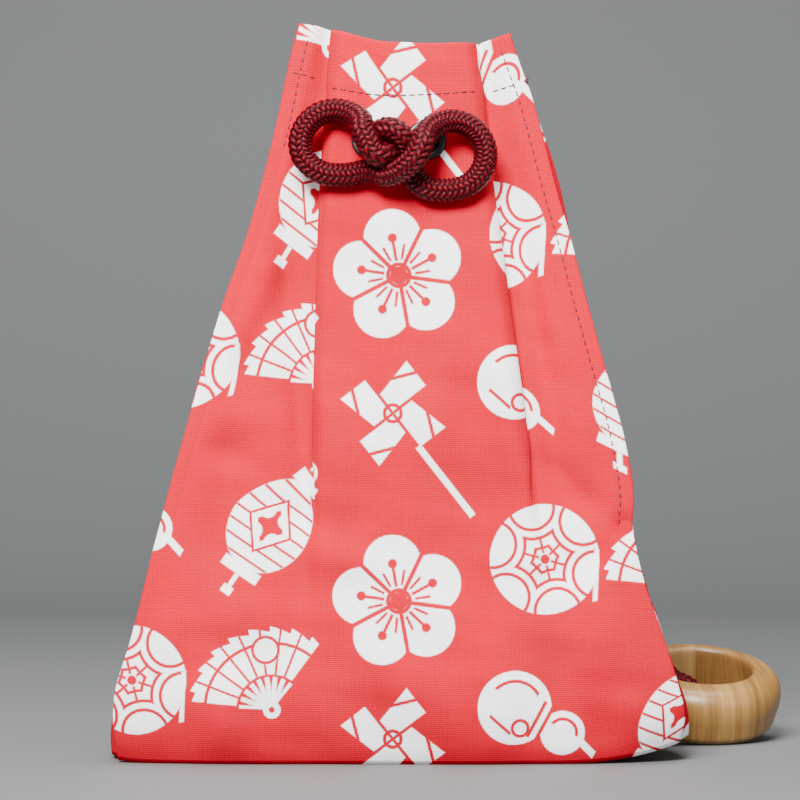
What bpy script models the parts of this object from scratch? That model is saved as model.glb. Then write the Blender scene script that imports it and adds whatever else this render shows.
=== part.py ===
"""Drawstring pouch: four soft walls on a stiffened base, a mouth drawn shut by a braided cord through
eight eyelets, a bow tied on the front, and a turned wooden ring on the cord's ends.

Metres, +Z up. The origin is the middle of the base, on the surface that the pouch stands on.
The front faces -Y.
"""

import math

import bmesh
import bpy
import numpy as np
from mathutils import Matrix, Vector

# Driving sizes of the body
BODY_HEIGHT = 0.2625  # the middle of the mouth's edge
CORNER_RISE = 0.0065  # the mouth's corners stand this much higher
BASE_HALF_WIDTH = 0.105
BASE_HALF_DEPTH = 0.038
CLOTH = 0.0010
LINING = 0.0006
LAYER_GAP = 0.0005
TOUCH_GAP = 0.0003
BOARD = 0.0018
WALL_FOOT = 0.0003  # the walls' lower edge stands this much clear of the surface below

# How the body narrows from the base (0) to the mouth (1)
height_shares = (0, 0.03, 0.09, 0.17, 0.28, 0.36, 0.44, 0.55, 0.64, 0.78, 0.86, 0.93, 1)
width_shares = (
    0.962, 0.981, 0.981, 0.929, 0.852, 0.816, 0.776, 0.692, 0.62, 0.515, 0.452, 0.407, 0.362,
)
depth_shares = (0.97, 1, 1.005, 0.99, 0.945, 0.89, 0.835, 0.75, 0.68, 0.58, 0.522, 0.478, 0.442)

# The flat corner seams, and the crown and rounded lower corners of the front and back
SEAM_FLANGE = 0.005
WALL_CROWN = 0.002
CORNER_PULL = 0.010
SEAM_END_HEIGHT = 0.085

# The box pleat in the middle of the front and back
PLEAT_RAISE = 0.0035
PLEAT_STEP = 0.0035
PLEAT_TOP_HALF = 0.026
PLEAT_LOW_HALF = 0.041
PLEAT_START_HEIGHT = 0.060
PLEAT_FULL_HEIGHT = 0.150

# The side gussets: how far in their middle fold lies, from the base to the mouth, how high up it is
# folded in full, and how much of the corners' rise its own edge has
gusset_shares = (1.036, 1.045, 1.04, 0.975, 0.86, 0.775, 0.66, 0.5, 0.36, 0.2, 0.133, 0.12, 0.114)
full_fold_share = 0.7
gusset_rise_share = 0.8

# The turned-in hem
HEM_DEPTH = 0.0195

# Cord and eyelets
CORD_DIAMETER = 0.0084
EYELET_BORE = 0.0050
EYELET_BARREL = 0.0005
EYELET_FLANGE_WIDTH = 0.0020
EYELET_FLANGE = 0.0008
WASHER = 0.0006
EYELET_DROP = 0.0340  # below the middle of the mouth's edge
EYELET_HALF_SPACING = 0.0100
leaf_eyelet_share = 0.2607402084  # across the gusset, from its seam at 0 to its other seam at 1
flange_edge_share = 0.4
flange_round_share = 0.5

# Wooden ring, seen along its own axis, which leans
RING_RADIUS = 0.0320
RING_BORE = 0.0200
RING_HEIGHT = 0.0235
RING_FOOT_RADIUS = 0.0060
RING_X = 0.1187
RING_Y = 0.0625
RING_PITCH_DEG = 15.5
RING_ROLL_DEG = 3.0
RING_TOP_EDGE = 0.0012
RING_FOOT_EDGE = 0.0008
RING_TOP_FALL = 0.0002
ring_top_share = 0.78
ring_foot_share = 0.77
ring_side_shares = ((0.88, 0.95), (0.965, 0.83), (1, 0.64), (0.985, 0.46))  # of radius and height
RING_FOOT_TURNS_DEG = (0, 22.5, 45, 67.5, 90)

# End knot inside the ring
KNOT_LENGTH = 0.0200
KNOT_WIDTH = 0.0170
KNOT_HEIGHT = 0.0165
KNOT_OFFSET_X = -0.0035

# The base plates stand this much clear of the walls, as shares of how far inside the cloth they lie
plate_side_share = 1.1
plate_end_share = 3

# How far apart the cord's rings of points lie, as shares of its diameter
bow_step_share = 0.45
run_step_share = 0.35
strand_step_share = 0.5
tail_step_share = 1

ROWS = 13
TURNED_STEPS = 16
RING_STEPS = 40
ROUTE_STEPS = 24
CUT_OVERRUN = 0.004
MERGE_DISTANCE = 0.00001


def clear_scene():
    for obj in list(bpy.data.objects):
        bpy.data.objects.remove(obj, do_unlink=True)


def new_collection(name):
    collection = bpy.data.collections.new(name)
    bpy.context.scene.collection.children.link(collection)
    return collection


def new_material(name, color, roughness, metallic=0.0):
    material = bpy.data.materials.new(name)
    material.use_nodes = True
    shader = material.node_tree.nodes["Principled BSDF"]
    shader.inputs["Base Color"].default_value = (*color, 1)
    shader.inputs["Roughness"].default_value = roughness
    shader.inputs["Metallic"].default_value = metallic
    material.diffuse_color = (*color, 1)
    return material


clear_scene()
POUCH = new_collection("drawstring_pouch")
CUTTERS = new_collection("cutters")
PRINTED_CLOTH = new_material("printed_cotton", (0.87, 0.10, 0.11), 0.85)
LINING_CLOTH = new_material("lining_cotton", (0.55, 0.03, 0.05), 0.9)
CARD = new_material("card", (0.45, 0.36, 0.25), 0.9)
CORD = new_material("braided_cord", (0.20, 0.005, 0.02), 0.6)
BLACK_METAL = new_material("black_metal", (0.015, 0.015, 0.017), 0.35, 1.0)
WOOD = new_material("turned_wood", (0.60, 0.38, 0.18), 0.45)


def smooth_between(value, start, end):
    share = min(max((value - start) / (end - start), 0), 1)
    return share * share * (3 - 2 * share)


def along_height(shares, z):
    """A smooth curve through a table of shares, read at height z."""
    at = min(max(z / BODY_HEIGHT, 0), 1)
    steps = np.array(height_shares)
    values = np.array(shares)
    slopes = np.gradient(values, steps)
    i = min(int(np.searchsorted(steps, at, side="right")) - 1, len(steps) - 2)
    span = steps[i + 1] - steps[i]
    t = (at - steps[i]) / span
    return float(
        values[i] * (1 + 2 * t) * (1 - t) ** 2
        + values[i + 1] * t * t * (3 - 2 * t)
        + span * (slopes[i] * t * (1 - t) ** 2 - slopes[i + 1] * t * t * (1 - t))
    )


def half_width(z):
    return BASE_HALF_WIDTH * along_height(width_shares, z)


def pleat_half(z):
    share = smooth_between(z, 0, BODY_HEIGHT)
    return PLEAT_LOW_HALF + (PLEAT_TOP_HALF - PLEAT_LOW_HALF) * share


def wall_depth(x, z):
    """How far the front wall's outer face stands in front of the middle plane."""
    across = min(abs(x) / half_width(z), 1)
    lower = 1 - smooth_between(z, 0, SEAM_END_HEIGHT)
    raised = PLEAT_RAISE * smooth_between(z, PLEAT_START_HEIGHT, PLEAT_FULL_HEIGHT)
    step = 1 - smooth_between(abs(x), pleat_half(z), pleat_half(z) + PLEAT_STEP)
    return (
        BASE_HALF_DEPTH * along_height(depth_shares, z)
        - WALL_CROWN * across**2
        - CORNER_PULL * lower * across**6
        + raised * step
    )


def edge_height(x, z):
    """The corners of the mouth stand up, so a row that is level low down climbs towards them."""
    start = pleat_half(z)
    outward = min(max((abs(x) - start) / (half_width(z) - start), 0), 1)
    return z + CORNER_RISE * outward * (z / BODY_HEIGHT) ** 4


def grid_normals(points):
    """Unit normals of a grid of points. Those of the lowest row are level, so that its height stays."""
    across = np.gradient(points, axis=1)
    up = np.gradient(points, axis=0)
    normals = np.cross(across, up)
    normals[0, :, 2] = 0
    return normals / np.linalg.norm(normals, axis=2, keepdims=True)


def add_object(name, data, material, collection=None):
    obj = bpy.data.objects.new(name, data)
    (collection or POUCH).objects.link(obj)
    if material:
        data.materials.append(material)
    return obj


def add_sheet(name, points, normals, inset, thickness, material):
    """A cloth layer: its outer face lies inset from the grid of points, along their normals."""
    rows, columns = points.shape[:2]
    middle = points + normals * (inset + thickness / 2)
    faces = [
        (r * columns + c, r * columns + c + 1, (r + 1) * columns + c + 1, (r + 1) * columns + c)
        for r in range(rows - 1)
        for c in range(columns - 1)
    ]
    mesh = bpy.data.meshes.new(name)
    mesh.from_pydata([tuple(p) for p in middle.reshape(-1, 3)], [], faces)
    obj = add_object(name, mesh, material)
    solidify = obj.modifiers.new("Thickness", "SOLIDIFY")
    solidify.thickness = thickness
    solidify.offset = 0
    mesh.shade_smooth()
    return obj


wall_rows = [BODY_HEIGHT * i / (ROWS - 1) for i in range(ROWS)]


def rows_between(low, high):
    """The walls' own rows between two heights, and the two heights."""
    return [low, *(z for z in wall_rows if low + CLOTH < z < high - CLOTH), high]


side_column_shares = (1, 0.88, 0.72, 0.4)


def side_columns(edge, outer):
    return [outer + (edge - outer) * share for share in side_column_shares]


def wall_columns(z):
    """X of each column of a wall at height z, closer together over the pleat's steps."""
    pleat = pleat_half(z)
    outer = pleat + PLEAT_STEP
    middle = [outer, pleat + PLEAT_STEP / 2, pleat, pleat / 2]
    half = side_columns(half_width(z), outer) + middle
    return [-x for x in half] + [0] + half[::-1]


def wall_row(z):
    """A level row of the front wall's outer face: its columns' x, depth and height, as facets have them."""
    low = min(int(z / BODY_HEIGHT * (ROWS - 1)), ROWS - 2)
    share = (z - wall_rows[low]) / (wall_rows[low + 1] - wall_rows[low])
    ends = [
        np.array([(x, wall_depth(x, level), edge_height(x, level)) for x in wall_columns(level)])
        for level in wall_rows[low : low + 2]
    ]
    return ends[0] * (1 - share) + ends[1] * share


def wall_grid(side, low, high, edge_inset):
    """Outer face of the front wall (side -1) or the back wall (side 1)."""
    found = []
    for z in rows_between(low, high):
        row = wall_row(z)
        inner = row[len(side_column_shares) : -len(side_column_shares), 0]
        outer_part = side_columns(row[-1, 0] - edge_inset, inner[-1])
        columns = [*(-x for x in outer_part), *inner, *outer_part[::-1]]
        depths = np.interp(columns, row[:, 0], row[:, 1])
        levels = np.interp(columns, row[:, 0], row[:, 2])
        found.append(np.stack([columns, side * depths, levels], axis=1))
    return np.array(found)


GUSSET_START = 2 * CLOTH + LAYER_GAP  # the gusset's outer face lies this far behind the front's
GUSSET_RISE = CORNER_RISE * gusset_rise_share
fold_shares = (0.08, 0.2, 0.35, 0.5, 0.65, 0.8, 0.92)


def gusset_x(z):
    return BASE_HALF_WIDTH * along_height(gusset_shares, z)


def gusset_section(z, shares):
    """The gusset's outer face at height z, between its two seams, for the right-hand side."""
    seam_x = half_width(z) - SEAM_FLANGE
    seam_y = -(wall_depth(seam_x, z) - GUSSET_START)
    fold = smooth_between(z, SEAM_END_HEIGHT, BODY_HEIGHT * full_fold_share)
    found = []
    for share in shares:
        off = abs(2 * share - 1)
        shape = (1 - off) * fold + (1 - off**3) * (1 - fold)
        found.append((seam_x + (gusset_x(z) - seam_x) * shape, seam_y * (1 - 2 * share)))
    return found


def gusset_line(z):
    """The gusset's section at height z with its flat seams, which lie behind the front and back."""
    tip = half_width(z)
    tip_y = wall_depth(tip, z) - GUSSET_START
    line = [(tip, -tip_y), *gusset_section(z, (0, *fold_shares, 1)), (tip, tip_y)]
    return np.array([(x, y, z + GUSSET_RISE * (z / BODY_HEIGHT) ** 4) for x, y in line])


def gusset_rows(low, high):
    """Rows of the right-hand gusset's outer face, as facets have them, and their inward normals."""
    base = np.array([gusset_line(z) for z in wall_rows])
    base_normals = -grid_normals(base)
    at = np.array(rows_between(low, high)) / BODY_HEIGHT * (ROWS - 1)
    first = np.minimum(at.astype(int), ROWS - 2)
    share = (at - first)[:, None, None]
    points, normals = (
        grid[first] * (1 - share) + grid[first + 1] * share for grid in (base, base_normals)
    )
    return points, normals / np.linalg.norm(normals, axis=2, keepdims=True)


def mirrored(grid, side):
    return grid * np.array((side, 1, 1))


def gusset_face(share, z):
    """A point on the right-hand gusset's front half at height z, and the way its outer side faces."""
    points, normals = gusset_rows(z, z + CLOTH)
    column = 1 + float(np.interp(share, (0, *fold_shares, 1), range(len(fold_shares) + 2)))
    left = int(column)
    part = column - left
    point = points[0, left] * (1 - part) + points[0, left + 1] * part
    across = points[0, left + 1] - points[0, left]
    up = points[1, left] * (1 - part) + points[1, left + 1] * part - point
    outward = Vector(np.cross(across, up)).normalized()
    return Vector(point), outward if outward.dot(normals[0, left]) < 0 else -outward


def base_outline(z, inset):
    """The loop just inside the four walls."""
    reach = half_width(z) - SEAM_FLANGE - inset * plate_end_share
    clear = inset * plate_side_share
    row = wall_row(z)
    inside = [-reach, *(x for x in row[:, 0] if abs(x) < reach), reach]
    front = [(x, clear - float(np.interp(x, row[:, 0], row[:, 1]))) for x in inside]
    right = [(x - clear, y) for x, y in gusset_section(z, fold_shares[1:-1])]
    half = front + right
    return half + [(-x, -y) for x, y in half]


def add_plate(name, outline, low, thickness, material):
    """A flat piece of the base, from its outline upwards."""
    build = bmesh.new()
    corners = [build.verts.new((x, y, low)) for x, y in outline]
    face = build.faces.new(corners)
    raised = bmesh.ops.extrude_face_region(build, geom=[face])["geom"]
    moved = [v for v in raised if isinstance(v, bmesh.types.BMVert)]
    bmesh.ops.translate(build, vec=(0, 0, thickness), verts=moved)
    bmesh.ops.recalc_face_normals(build, faces=build.faces)
    mesh = bpy.data.meshes.new(name)
    build.to_mesh(mesh)
    build.free()
    return add_object(name, mesh, material)


def smooth_route(route, spacing):
    """Points about that far apart on a smooth curve through the route's own points."""
    ends = [2 * Vector(route[0]) - Vector(route[1]), 2 * Vector(route[-1]) - Vector(route[-2])]
    points = [ends[0], *map(Vector, route), ends[1]]
    fine = []
    for i in range(1, len(points) - 2):
        a, b, c, d = points[i - 1 : i + 3]
        for step in range(ROUTE_STEPS):
            t = step / ROUTE_STEPS
            fine.append(
                0.5
                * (
                    2 * b
                    + (c - a) * t
                    + (2 * a - 5 * b + 4 * c - d) * t**2
                    + (3 * b - a - 3 * c + d) * t**3
                )
            )
    fine.append(points[-2])
    line = np.array([tuple(p) for p in fine])
    travelled = np.concatenate([[0], np.cumsum(np.linalg.norm(np.diff(line, axis=0), axis=1))])
    at = np.linspace(0, travelled[-1], max(3, round(travelled[-1] / spacing) + 1))
    return np.stack([np.interp(at, travelled, line[:, k]) for k in range(3)], axis=1)


def add_cord(name, route, spacing):
    points = smooth_route(route, spacing)
    curve = bpy.data.curves.new(name, "CURVE")
    curve.dimensions = "3D"
    curve.bevel_depth = CORD_DIAMETER / 2
    curve.bevel_resolution = 2
    curve.use_fill_caps = True
    spline = curve.splines.new("POLY")
    spline.points.add(len(points) - 1)
    for place, point in zip(spline.points, points):
        place.co = (*point, 1)
    return add_object(name, curve, CORD)


def add_turned(name, profile, steps, matrix, material):
    """A solid turned about its own Z from a closed profile of (radius, height), outer side first."""
    build = bmesh.new()
    corners = [build.verts.new((radius, 0, height)) for radius, height in profile]
    for a, b in zip(corners, corners[1:] + corners[:1]):
        build.edges.new((a, b))
    mesh = bpy.data.meshes.new(name)
    build.to_mesh(mesh)
    build.free()
    obj = add_object(name, mesh, material)
    screw = obj.modifiers.new("Turn", "SCREW")
    screw.steps = screw.render_steps = steps
    screw.use_merge_vertices = True
    screw.merge_threshold = MERGE_DISTANCE
    screw.use_smooth_shade = True
    obj.matrix_world = matrix
    return obj


def facing_matrix(point, outward):
    """A frame at point whose Z looks along outward."""
    z = Vector(outward).normalized()
    x = Vector((0, 0, 1)).cross(z).normalized()
    y = z.cross(x)
    frame = Matrix((x, y, z)).transposed().to_4x4()
    frame.translation = Vector(point)
    return frame


def cut_hole(obj, matrix, radius, depth):
    build = bmesh.new()
    bmesh.ops.create_cone(
        build, cap_ends=True, segments=TURNED_STEPS, radius1=radius, radius2=radius, depth=depth
    )
    mesh = bpy.data.meshes.new("eyelet_hole")
    build.to_mesh(mesh)
    build.free()
    cutter = add_object(f"hole_in_{obj.name}", mesh, None, CUTTERS)
    cutter.matrix_world = matrix
    cutter.hide_render = True
    cutter.display_type = "WIRE"
    boolean = obj.modifiers.new("Hole", "BOOLEAN")
    boolean.object = cutter
    boolean.operation = "DIFFERENCE"


def add_eyelet(name, matrix, layers):
    """An eyelet through the cloth and its lining, with a washer behind. Z of matrix is outward."""
    stack = CLOTH + LAYER_GAP + LINING
    outer = EYELET_BORE + EYELET_BARREL
    flange = outer + EYELET_FLANGE_WIDTH
    top = TOUCH_GAP + EYELET_FLANGE
    edge = EYELET_FLANGE * flange_edge_share
    back = -stack - TOUCH_GAP - WASHER
    add_turned(
        name,
        [
            (flange, TOUCH_GAP + edge),
            (flange, TOUCH_GAP),
            (outer, TOUCH_GAP),
            (outer, back),
            (EYELET_BORE, back),
            (EYELET_BORE, top - edge),
            (outer, top),
            (flange - EYELET_FLANGE * flange_round_share, top),
        ],
        TURNED_STEPS,
        matrix,
        BLACK_METAL,
    )
    washer_hole = outer + TOUCH_GAP
    add_turned(
        name.replace("eyelet", "washer"),
        [
            (flange, -stack - TOUCH_GAP),
            (flange, back),
            (washer_hole, back),
            (washer_hole, -stack - TOUCH_GAP),
        ],
        TURNED_STEPS,
        matrix,
        BLACK_METAL,
    )
    for layer in layers:
        cut_hole(layer, matrix, washer_hole, 2 * (stack + CUT_OVERRUN / 2))


# Walls, hems and lining
HEM_HEIGHT = BODY_HEIGHT - HEM_DEPTH
LINING_EDGE = SEAM_FLANGE + CLOTH + LINING + LAYER_GAP * 2
INNER = CLOTH + LAYER_GAP
LINING_FOOT = CLOTH + LAYER_GAP
walls = {}
for side, which in ((-1, "front"), (1, "back")):
    layers = []
    for name, low, high, edge, inset, thickness, material in (
        (f"{which}_panel", WALL_FOOT, BODY_HEIGHT, 0, 0, CLOTH, PRINTED_CLOTH),
        (f"lining_{which}", LINING_FOOT, HEM_HEIGHT - LAYER_GAP, LINING_EDGE, INNER, LINING, LINING_CLOTH),
        (f"{which}_mouth_facing", HEM_HEIGHT, BODY_HEIGHT, LINING_EDGE, INNER, LINING, PRINTED_CLOTH),
    ):
        grid = wall_grid(side, low, high, edge)
        inward = grid_normals(grid) * side
        layers.append(add_sheet(name, grid, inward, inset, thickness, material))
    walls[side] = layers[:2]

gussets = {}
for side, which in ((-1, "left"), (1, "right")):
    grid, inward = gusset_rows(WALL_FOOT, BODY_HEIGHT)
    panel = add_sheet(
        f"{which}_gusset", mirrored(grid, side), mirrored(inward, side), 0, CLOTH, PRINTED_CLOTH
    )
    grid, inward = gusset_rows(LINING_FOOT, BODY_HEIGHT - LAYER_GAP)
    grid, inward = grid[:, 2:-2], inward[:, 2:-2]
    lining = add_sheet(
        f"lining_{which}", mirrored(grid, side), mirrored(inward, side), INNER, LINING, LINING_CLOTH
    )
    gussets[side] = (panel, lining)

# Base
board_low = CLOTH + TOUCH_GAP
lining_low = board_low + BOARD + TOUCH_GAP
add_plate("base_cloth", base_outline(0, INNER), 0, CLOTH, PRINTED_CLOTH)
within_lining = INNER + LINING + LAYER_GAP * 2
add_plate("base_board", base_outline(board_low, within_lining), board_low, BOARD, CARD)
add_plate("lining_base", base_outline(lining_low, within_lining), lining_low, LINING, LINING_CLOTH)

# Eyelets
EYELET_HEIGHT = BODY_HEIGHT - EYELET_DROP
for depth_side, which in ((-1, "front"), (1, "back")):
    for side, hand_name in ((-1, "left"), (1, "right")):
        x = side * EYELET_HALF_SPACING
        above, below = (wall_depth(x, EYELET_HEIGHT + step) for step in (CLOTH, -CLOTH))
        place = (x, depth_side * wall_depth(x, EYELET_HEIGHT), EYELET_HEIGHT)
        frame = facing_matrix(place, (0, depth_side, (below - above) / (2 * CLOTH)))
        add_eyelet(f"{which}_eyelet_{hand_name}", frame, walls[depth_side])

leaf_point, leaf_outward = gusset_face(leaf_eyelet_share, EYELET_HEIGHT)
for side, hand_name in ((-1, "left"), (1, "right")):
    for depth_side, which in ((-1, "front"), (1, "back")):
        turn = Vector((side, -depth_side, 1))
        frame = facing_matrix(leaf_point * turn, leaf_outward * turn)
        add_eyelet(f"gusset_eyelet_{hand_name}_{which}", frame, gussets[side])

# The bow: one length of cord, out of one front eyelet and into the other. Its route is a list of
# places on the photograph, with how far each stands off the middle of the front.
PHOTO_MIDDLE_X = 399
PHOTO_EYELET_Y = 135.7845
PHOTO_PIXEL = 0.000362
bow_route = (
    (371, 136, 0.0045), (374, 143, 0.0095), (379, 152, 0.0130), (388, 160, 0.0138), (401, 167, 0.0128),
    (414, 175, 0.0104), (428, 182, 0.0066), (443, 186, 0.0050), (458, 185, 0.0048), (473, 178, 0.0048),
    (483, 165, 0.0048), (486, 150, 0.0048), (481, 133, 0.0052), (467, 121, 0.0068), (449, 118, 0.0108),
    (432, 121, 0.0158), (415, 124, 0.0184), (398, 128, 0.0186), (383, 123, 0.0166), (368, 115, 0.0112),
    (352, 110, 0.0068), (334, 109, 0.0052), (316, 115, 0.0048), (303, 128, 0.0048), (299, 143, 0.0048),
    (306, 159, 0.0048), (320, 169, 0.0048), (337, 172, 0.0048), (355, 171, 0.0048), (373, 168, 0.0048),
    (390, 166, 0.0048), (404, 161, 0.0056), (415, 154, 0.0098), (421, 147, 0.0134), (424, 141, 0.0098),
    (427, 136, 0.0045),
)
bow_points = []
for pixel_x, pixel_y, stand_off in bow_route:
    z = EYELET_HEIGHT + (PHOTO_EYELET_Y - pixel_y) * PHOTO_PIXEL
    bow_points.append(((pixel_x - PHOTO_MIDDLE_X) * PHOTO_PIXEL, -wall_depth(0, z) - stand_off, z))
eyelet_depth = wall_depth(EYELET_HALF_SPACING, EYELET_HEIGHT)
flange_front = eyelet_depth + TOUCH_GAP + EYELET_FLANGE
bow_ends = [(side * EYELET_HALF_SPACING, -flange_front - TOUCH_GAP, EYELET_HEIGHT) for side in (-1, 1)]
add_cord("bow_knot", [bow_ends[0], *bow_points, bow_ends[1]], CORD_DIAMETER * bow_step_share)

# Inside the mouth each end runs from its front eyelet back through the gusset's two leaves. Beside the
# wall's eyelet a place is how far out it lies, its share of that eyelet's depth and how far up it lies.
# In the leaf it is its shares of the leaf eyelet's own place, and how far up it lies.
beside_wall_eyelet = (
    (0, 1.0444677196, 0), (0, 0.9139092547, 0), (0.0001, 0.7920546874, 0.0001),
    (0.0022, 0.6876079154, 0.0004), (0.0063, 0.6614962224, 0.0011), (0.0107, 0.6527923248, 0.0020),
)
through_leaf = (
    (0.8915245673, 1.7097849052, 0.0027), (1.0002470755, 0.9962526219, 0.0030),
    (1.0763528313, 0.498126311, 0.0032), (1.0980973329, 0, 0.0032),
)
half_run = [
    (EYELET_HALF_SPACING + out, -eyelet_depth * share, EYELET_HEIGHT + lift)
    for out, share, lift in beside_wall_eyelet
]
half_run += [
    (leaf_point.x * out_share, leaf_point.y * share, EYELET_HEIGHT + lift)
    for out_share, share, lift in through_leaf
]
run_route = half_run + [(x, -y, z) for x, y, z in half_run[-2::-1]]
for side, hand_name in ((-1, "left"), (1, "right")):
    route = [(side * x, y, z) for x, y, z in run_route]
    add_cord(f"cord_run_{hand_name}", route, CORD_DIAMETER * run_step_share)

# Wooden ring
pitch = math.radians(RING_PITCH_DEG)
roll = math.radians(RING_ROLL_DEG)
lean = Matrix.Rotation(roll, 4, "Y") @ Matrix.Rotation(pitch, 4, "X")
foot_centre = RING_RADIUS * ring_foot_share  # radius of the lower edge's rounding centre
ring_axis = (lean @ Vector((0, 0, 1))).normalized()
ring_drop = foot_centre * math.sin(math.acos(ring_axis.z)) + RING_FOOT_RADIUS
ring_frame = Matrix.Translation((RING_X, RING_Y, ring_drop - RING_FOOT_RADIUS * ring_axis.z)) @ lean
quarter = [math.radians(a) for a in RING_FOOT_TURNS_DEG]
ring_profile = [
    (RING_BORE + RING_TOP_EDGE, RING_HEIGHT),
    (RING_RADIUS * ring_top_share, RING_HEIGHT - RING_TOP_FALL),
    *((RING_RADIUS * out, RING_HEIGHT * up) for out, up in ring_side_shares),
]
ring_profile += [
    (foot_centre + RING_FOOT_RADIUS * math.cos(a), RING_FOOT_RADIUS * (1 - math.sin(a)))
    for a in quarter
]
ring_profile += [
    (RING_BORE + RING_FOOT_EDGE, 0),
    (RING_BORE, RING_FOOT_EDGE),
    (RING_BORE, RING_HEIGHT - RING_TOP_EDGE),
]
add_turned("wooden_ring", ring_profile, RING_STEPS, ring_frame, WOOD)

# Cord's end knot, and the two strands that hold the ring
build = bmesh.new()
bmesh.ops.create_uvsphere(build, u_segments=16, v_segments=10, radius=0.5)
mesh = bpy.data.meshes.new("end_knot")
build.to_mesh(mesh)
build.free()
knot = add_object("end_knot", mesh, CORD)
mesh.transform(Matrix.Diagonal((KNOT_LENGTH, KNOT_WIDTH, KNOT_HEIGHT, 1)))
mesh.shade_smooth()
knot.location = (RING_X + KNOT_OFFSET_X, RING_Y, KNOT_HEIGHT / 2 + TOUCH_GAP)

under_route = (
    (0.1142, 0.0716, 0.0076), (0.1136, 0.0770, 0.0074), (0.1126, 0.0850, 0.0071), (0.1115, 0.0930, 0.0062),
    (0.1106, 0.1010, 0.0050), (0.1100, 0.1070, 0.0044),
)
over_route = (
    (0.1085, 0.0611, 0.0172), (0.1070, 0.0606, 0.0240), (0.1056, 0.0601, 0.0310), (0.1018, 0.0596, 0.0374),
    (0.0950, 0.0591, 0.0395), (0.0880, 0.0586, 0.0385), (0.0820, 0.0581, 0.0340), (0.0775, 0.0577, 0.0270),
    (0.0735, 0.0573, 0.0180), (0.0698, 0.0570, 0.0105), (0.0662, 0.0567, 0.0058), (0.0636, 0.0566, 0.0046),
    (0.0614, 0.0566, 0.0046),
)
add_cord("ring_strand_under", under_route, CORD_DIAMETER * strand_step_share)
add_cord("ring_strand_over", over_route, CORD_DIAMETER * strand_step_share)

# The cord's two free tails, from the back eyelets down the back wall and along the floor. A hanging place
# is how far out the left and the right tail lie from their eyelets, and its shares of the base's half
# depth and of the eyelets' height.
hanging_places = (
    (0, 0, 0.65, 1), (0.0001, 0.0001, 0.789474, 0.999562), (0.0006, 0.0006, 1.026316, 0.980306),
    (0.0013, 0.0013, 1.157895, 0.923414), (0.0018, 0.0018, 1.136842, 0.853392),
    (0.0024, 0.0026, 1.092105, 0.743982), (0.0030, 0.0034, 1.078947, 0.634573),
    (0.0036, 0.0042, 1.118421, 0.503282), (0.0042, 0.0050, 1.184211, 0.371991),
    (0.0046, 0.0060, 1.25, 0.240700),
)
floor_left = (
    (-0.0140, 0.0500, 0.0320), (-0.0110, 0.0560, 0.0150), (-0.0040, 0.0680, 0.0060),
    (0.0090, 0.0850, 0.0044), (0.0270, 0.1050, 0.0044), (0.0480, 0.1230, 0.0044), (0.0720, 0.1350, 0.0044),
    (0.0930, 0.1350, 0.0044), (0.1060, 0.1240, 0.0044), (0.1096, 0.1076, 0.0044),
)
floor_right = (
    (0.0180, 0.0500, 0.0320), (0.0225, 0.0530, 0.0150), (0.0320, 0.0560, 0.0060), (0.0430, 0.0568, 0.0044),
    (0.0530, 0.0566, 0.0044), (0.0608, 0.0566, 0.0046),
)
for side, hand_name, floor_part in ((-1, "left", floor_left), (1, "right", floor_right)):
    hanging = []
    for left_out, right_out, depth_share, height_share in hanging_places:
        out = EYELET_HALF_SPACING + (left_out if side < 0 else right_out)
        hanging.append((side * out, BASE_HALF_DEPTH * depth_share, EYELET_HEIGHT * height_share))
    add_cord(f"cord_tail_{hand_name}", [*hanging, *floor_part], CORD_DIAMETER * tail_step_share)
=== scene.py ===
"""The looks of a drawstring pouch: printed cotton walls on a stiff base, a braided cord drawn through
black eyelets and tied in a bow, and a turned wooden ring on the cord's ends. Metres, as in the frame.
"""

import math

import bmesh
import bpy
import numpy as np
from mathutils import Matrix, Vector


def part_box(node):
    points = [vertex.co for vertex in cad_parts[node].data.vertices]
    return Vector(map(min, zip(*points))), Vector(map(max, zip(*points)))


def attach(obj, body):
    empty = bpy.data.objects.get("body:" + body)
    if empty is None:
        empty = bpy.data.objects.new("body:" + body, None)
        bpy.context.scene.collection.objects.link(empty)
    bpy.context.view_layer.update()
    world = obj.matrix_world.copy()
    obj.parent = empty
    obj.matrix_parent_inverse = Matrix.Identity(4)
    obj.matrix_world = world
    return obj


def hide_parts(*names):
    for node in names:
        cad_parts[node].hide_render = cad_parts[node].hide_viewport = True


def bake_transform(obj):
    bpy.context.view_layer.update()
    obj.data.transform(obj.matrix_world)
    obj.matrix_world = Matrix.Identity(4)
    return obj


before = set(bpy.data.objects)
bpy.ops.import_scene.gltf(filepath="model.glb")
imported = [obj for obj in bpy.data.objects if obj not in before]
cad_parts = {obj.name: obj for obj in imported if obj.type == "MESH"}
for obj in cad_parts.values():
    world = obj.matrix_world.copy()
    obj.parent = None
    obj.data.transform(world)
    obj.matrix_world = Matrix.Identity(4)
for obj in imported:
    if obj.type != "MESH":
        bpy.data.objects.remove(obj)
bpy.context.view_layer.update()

# ---- Camera ----
# It stands level a metre in front of the pouch, a little under half its height, with a long lens.
camera_data = bpy.data.cameras.new("camera")
camera_data.sensor_width = 36
camera_data.lens = 124.3
camera_data.shift_y = 0.0618
camera_data.clip_end = 30
camera = bpy.data.objects.new("camera", camera_data)
camera.location = (0.0004, -1.038, 0.115)
camera.rotation_euler = (math.radians(90), 0, 0)
bpy.context.scene.collection.objects.link(camera)
bpy.context.scene.camera = camera

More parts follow.
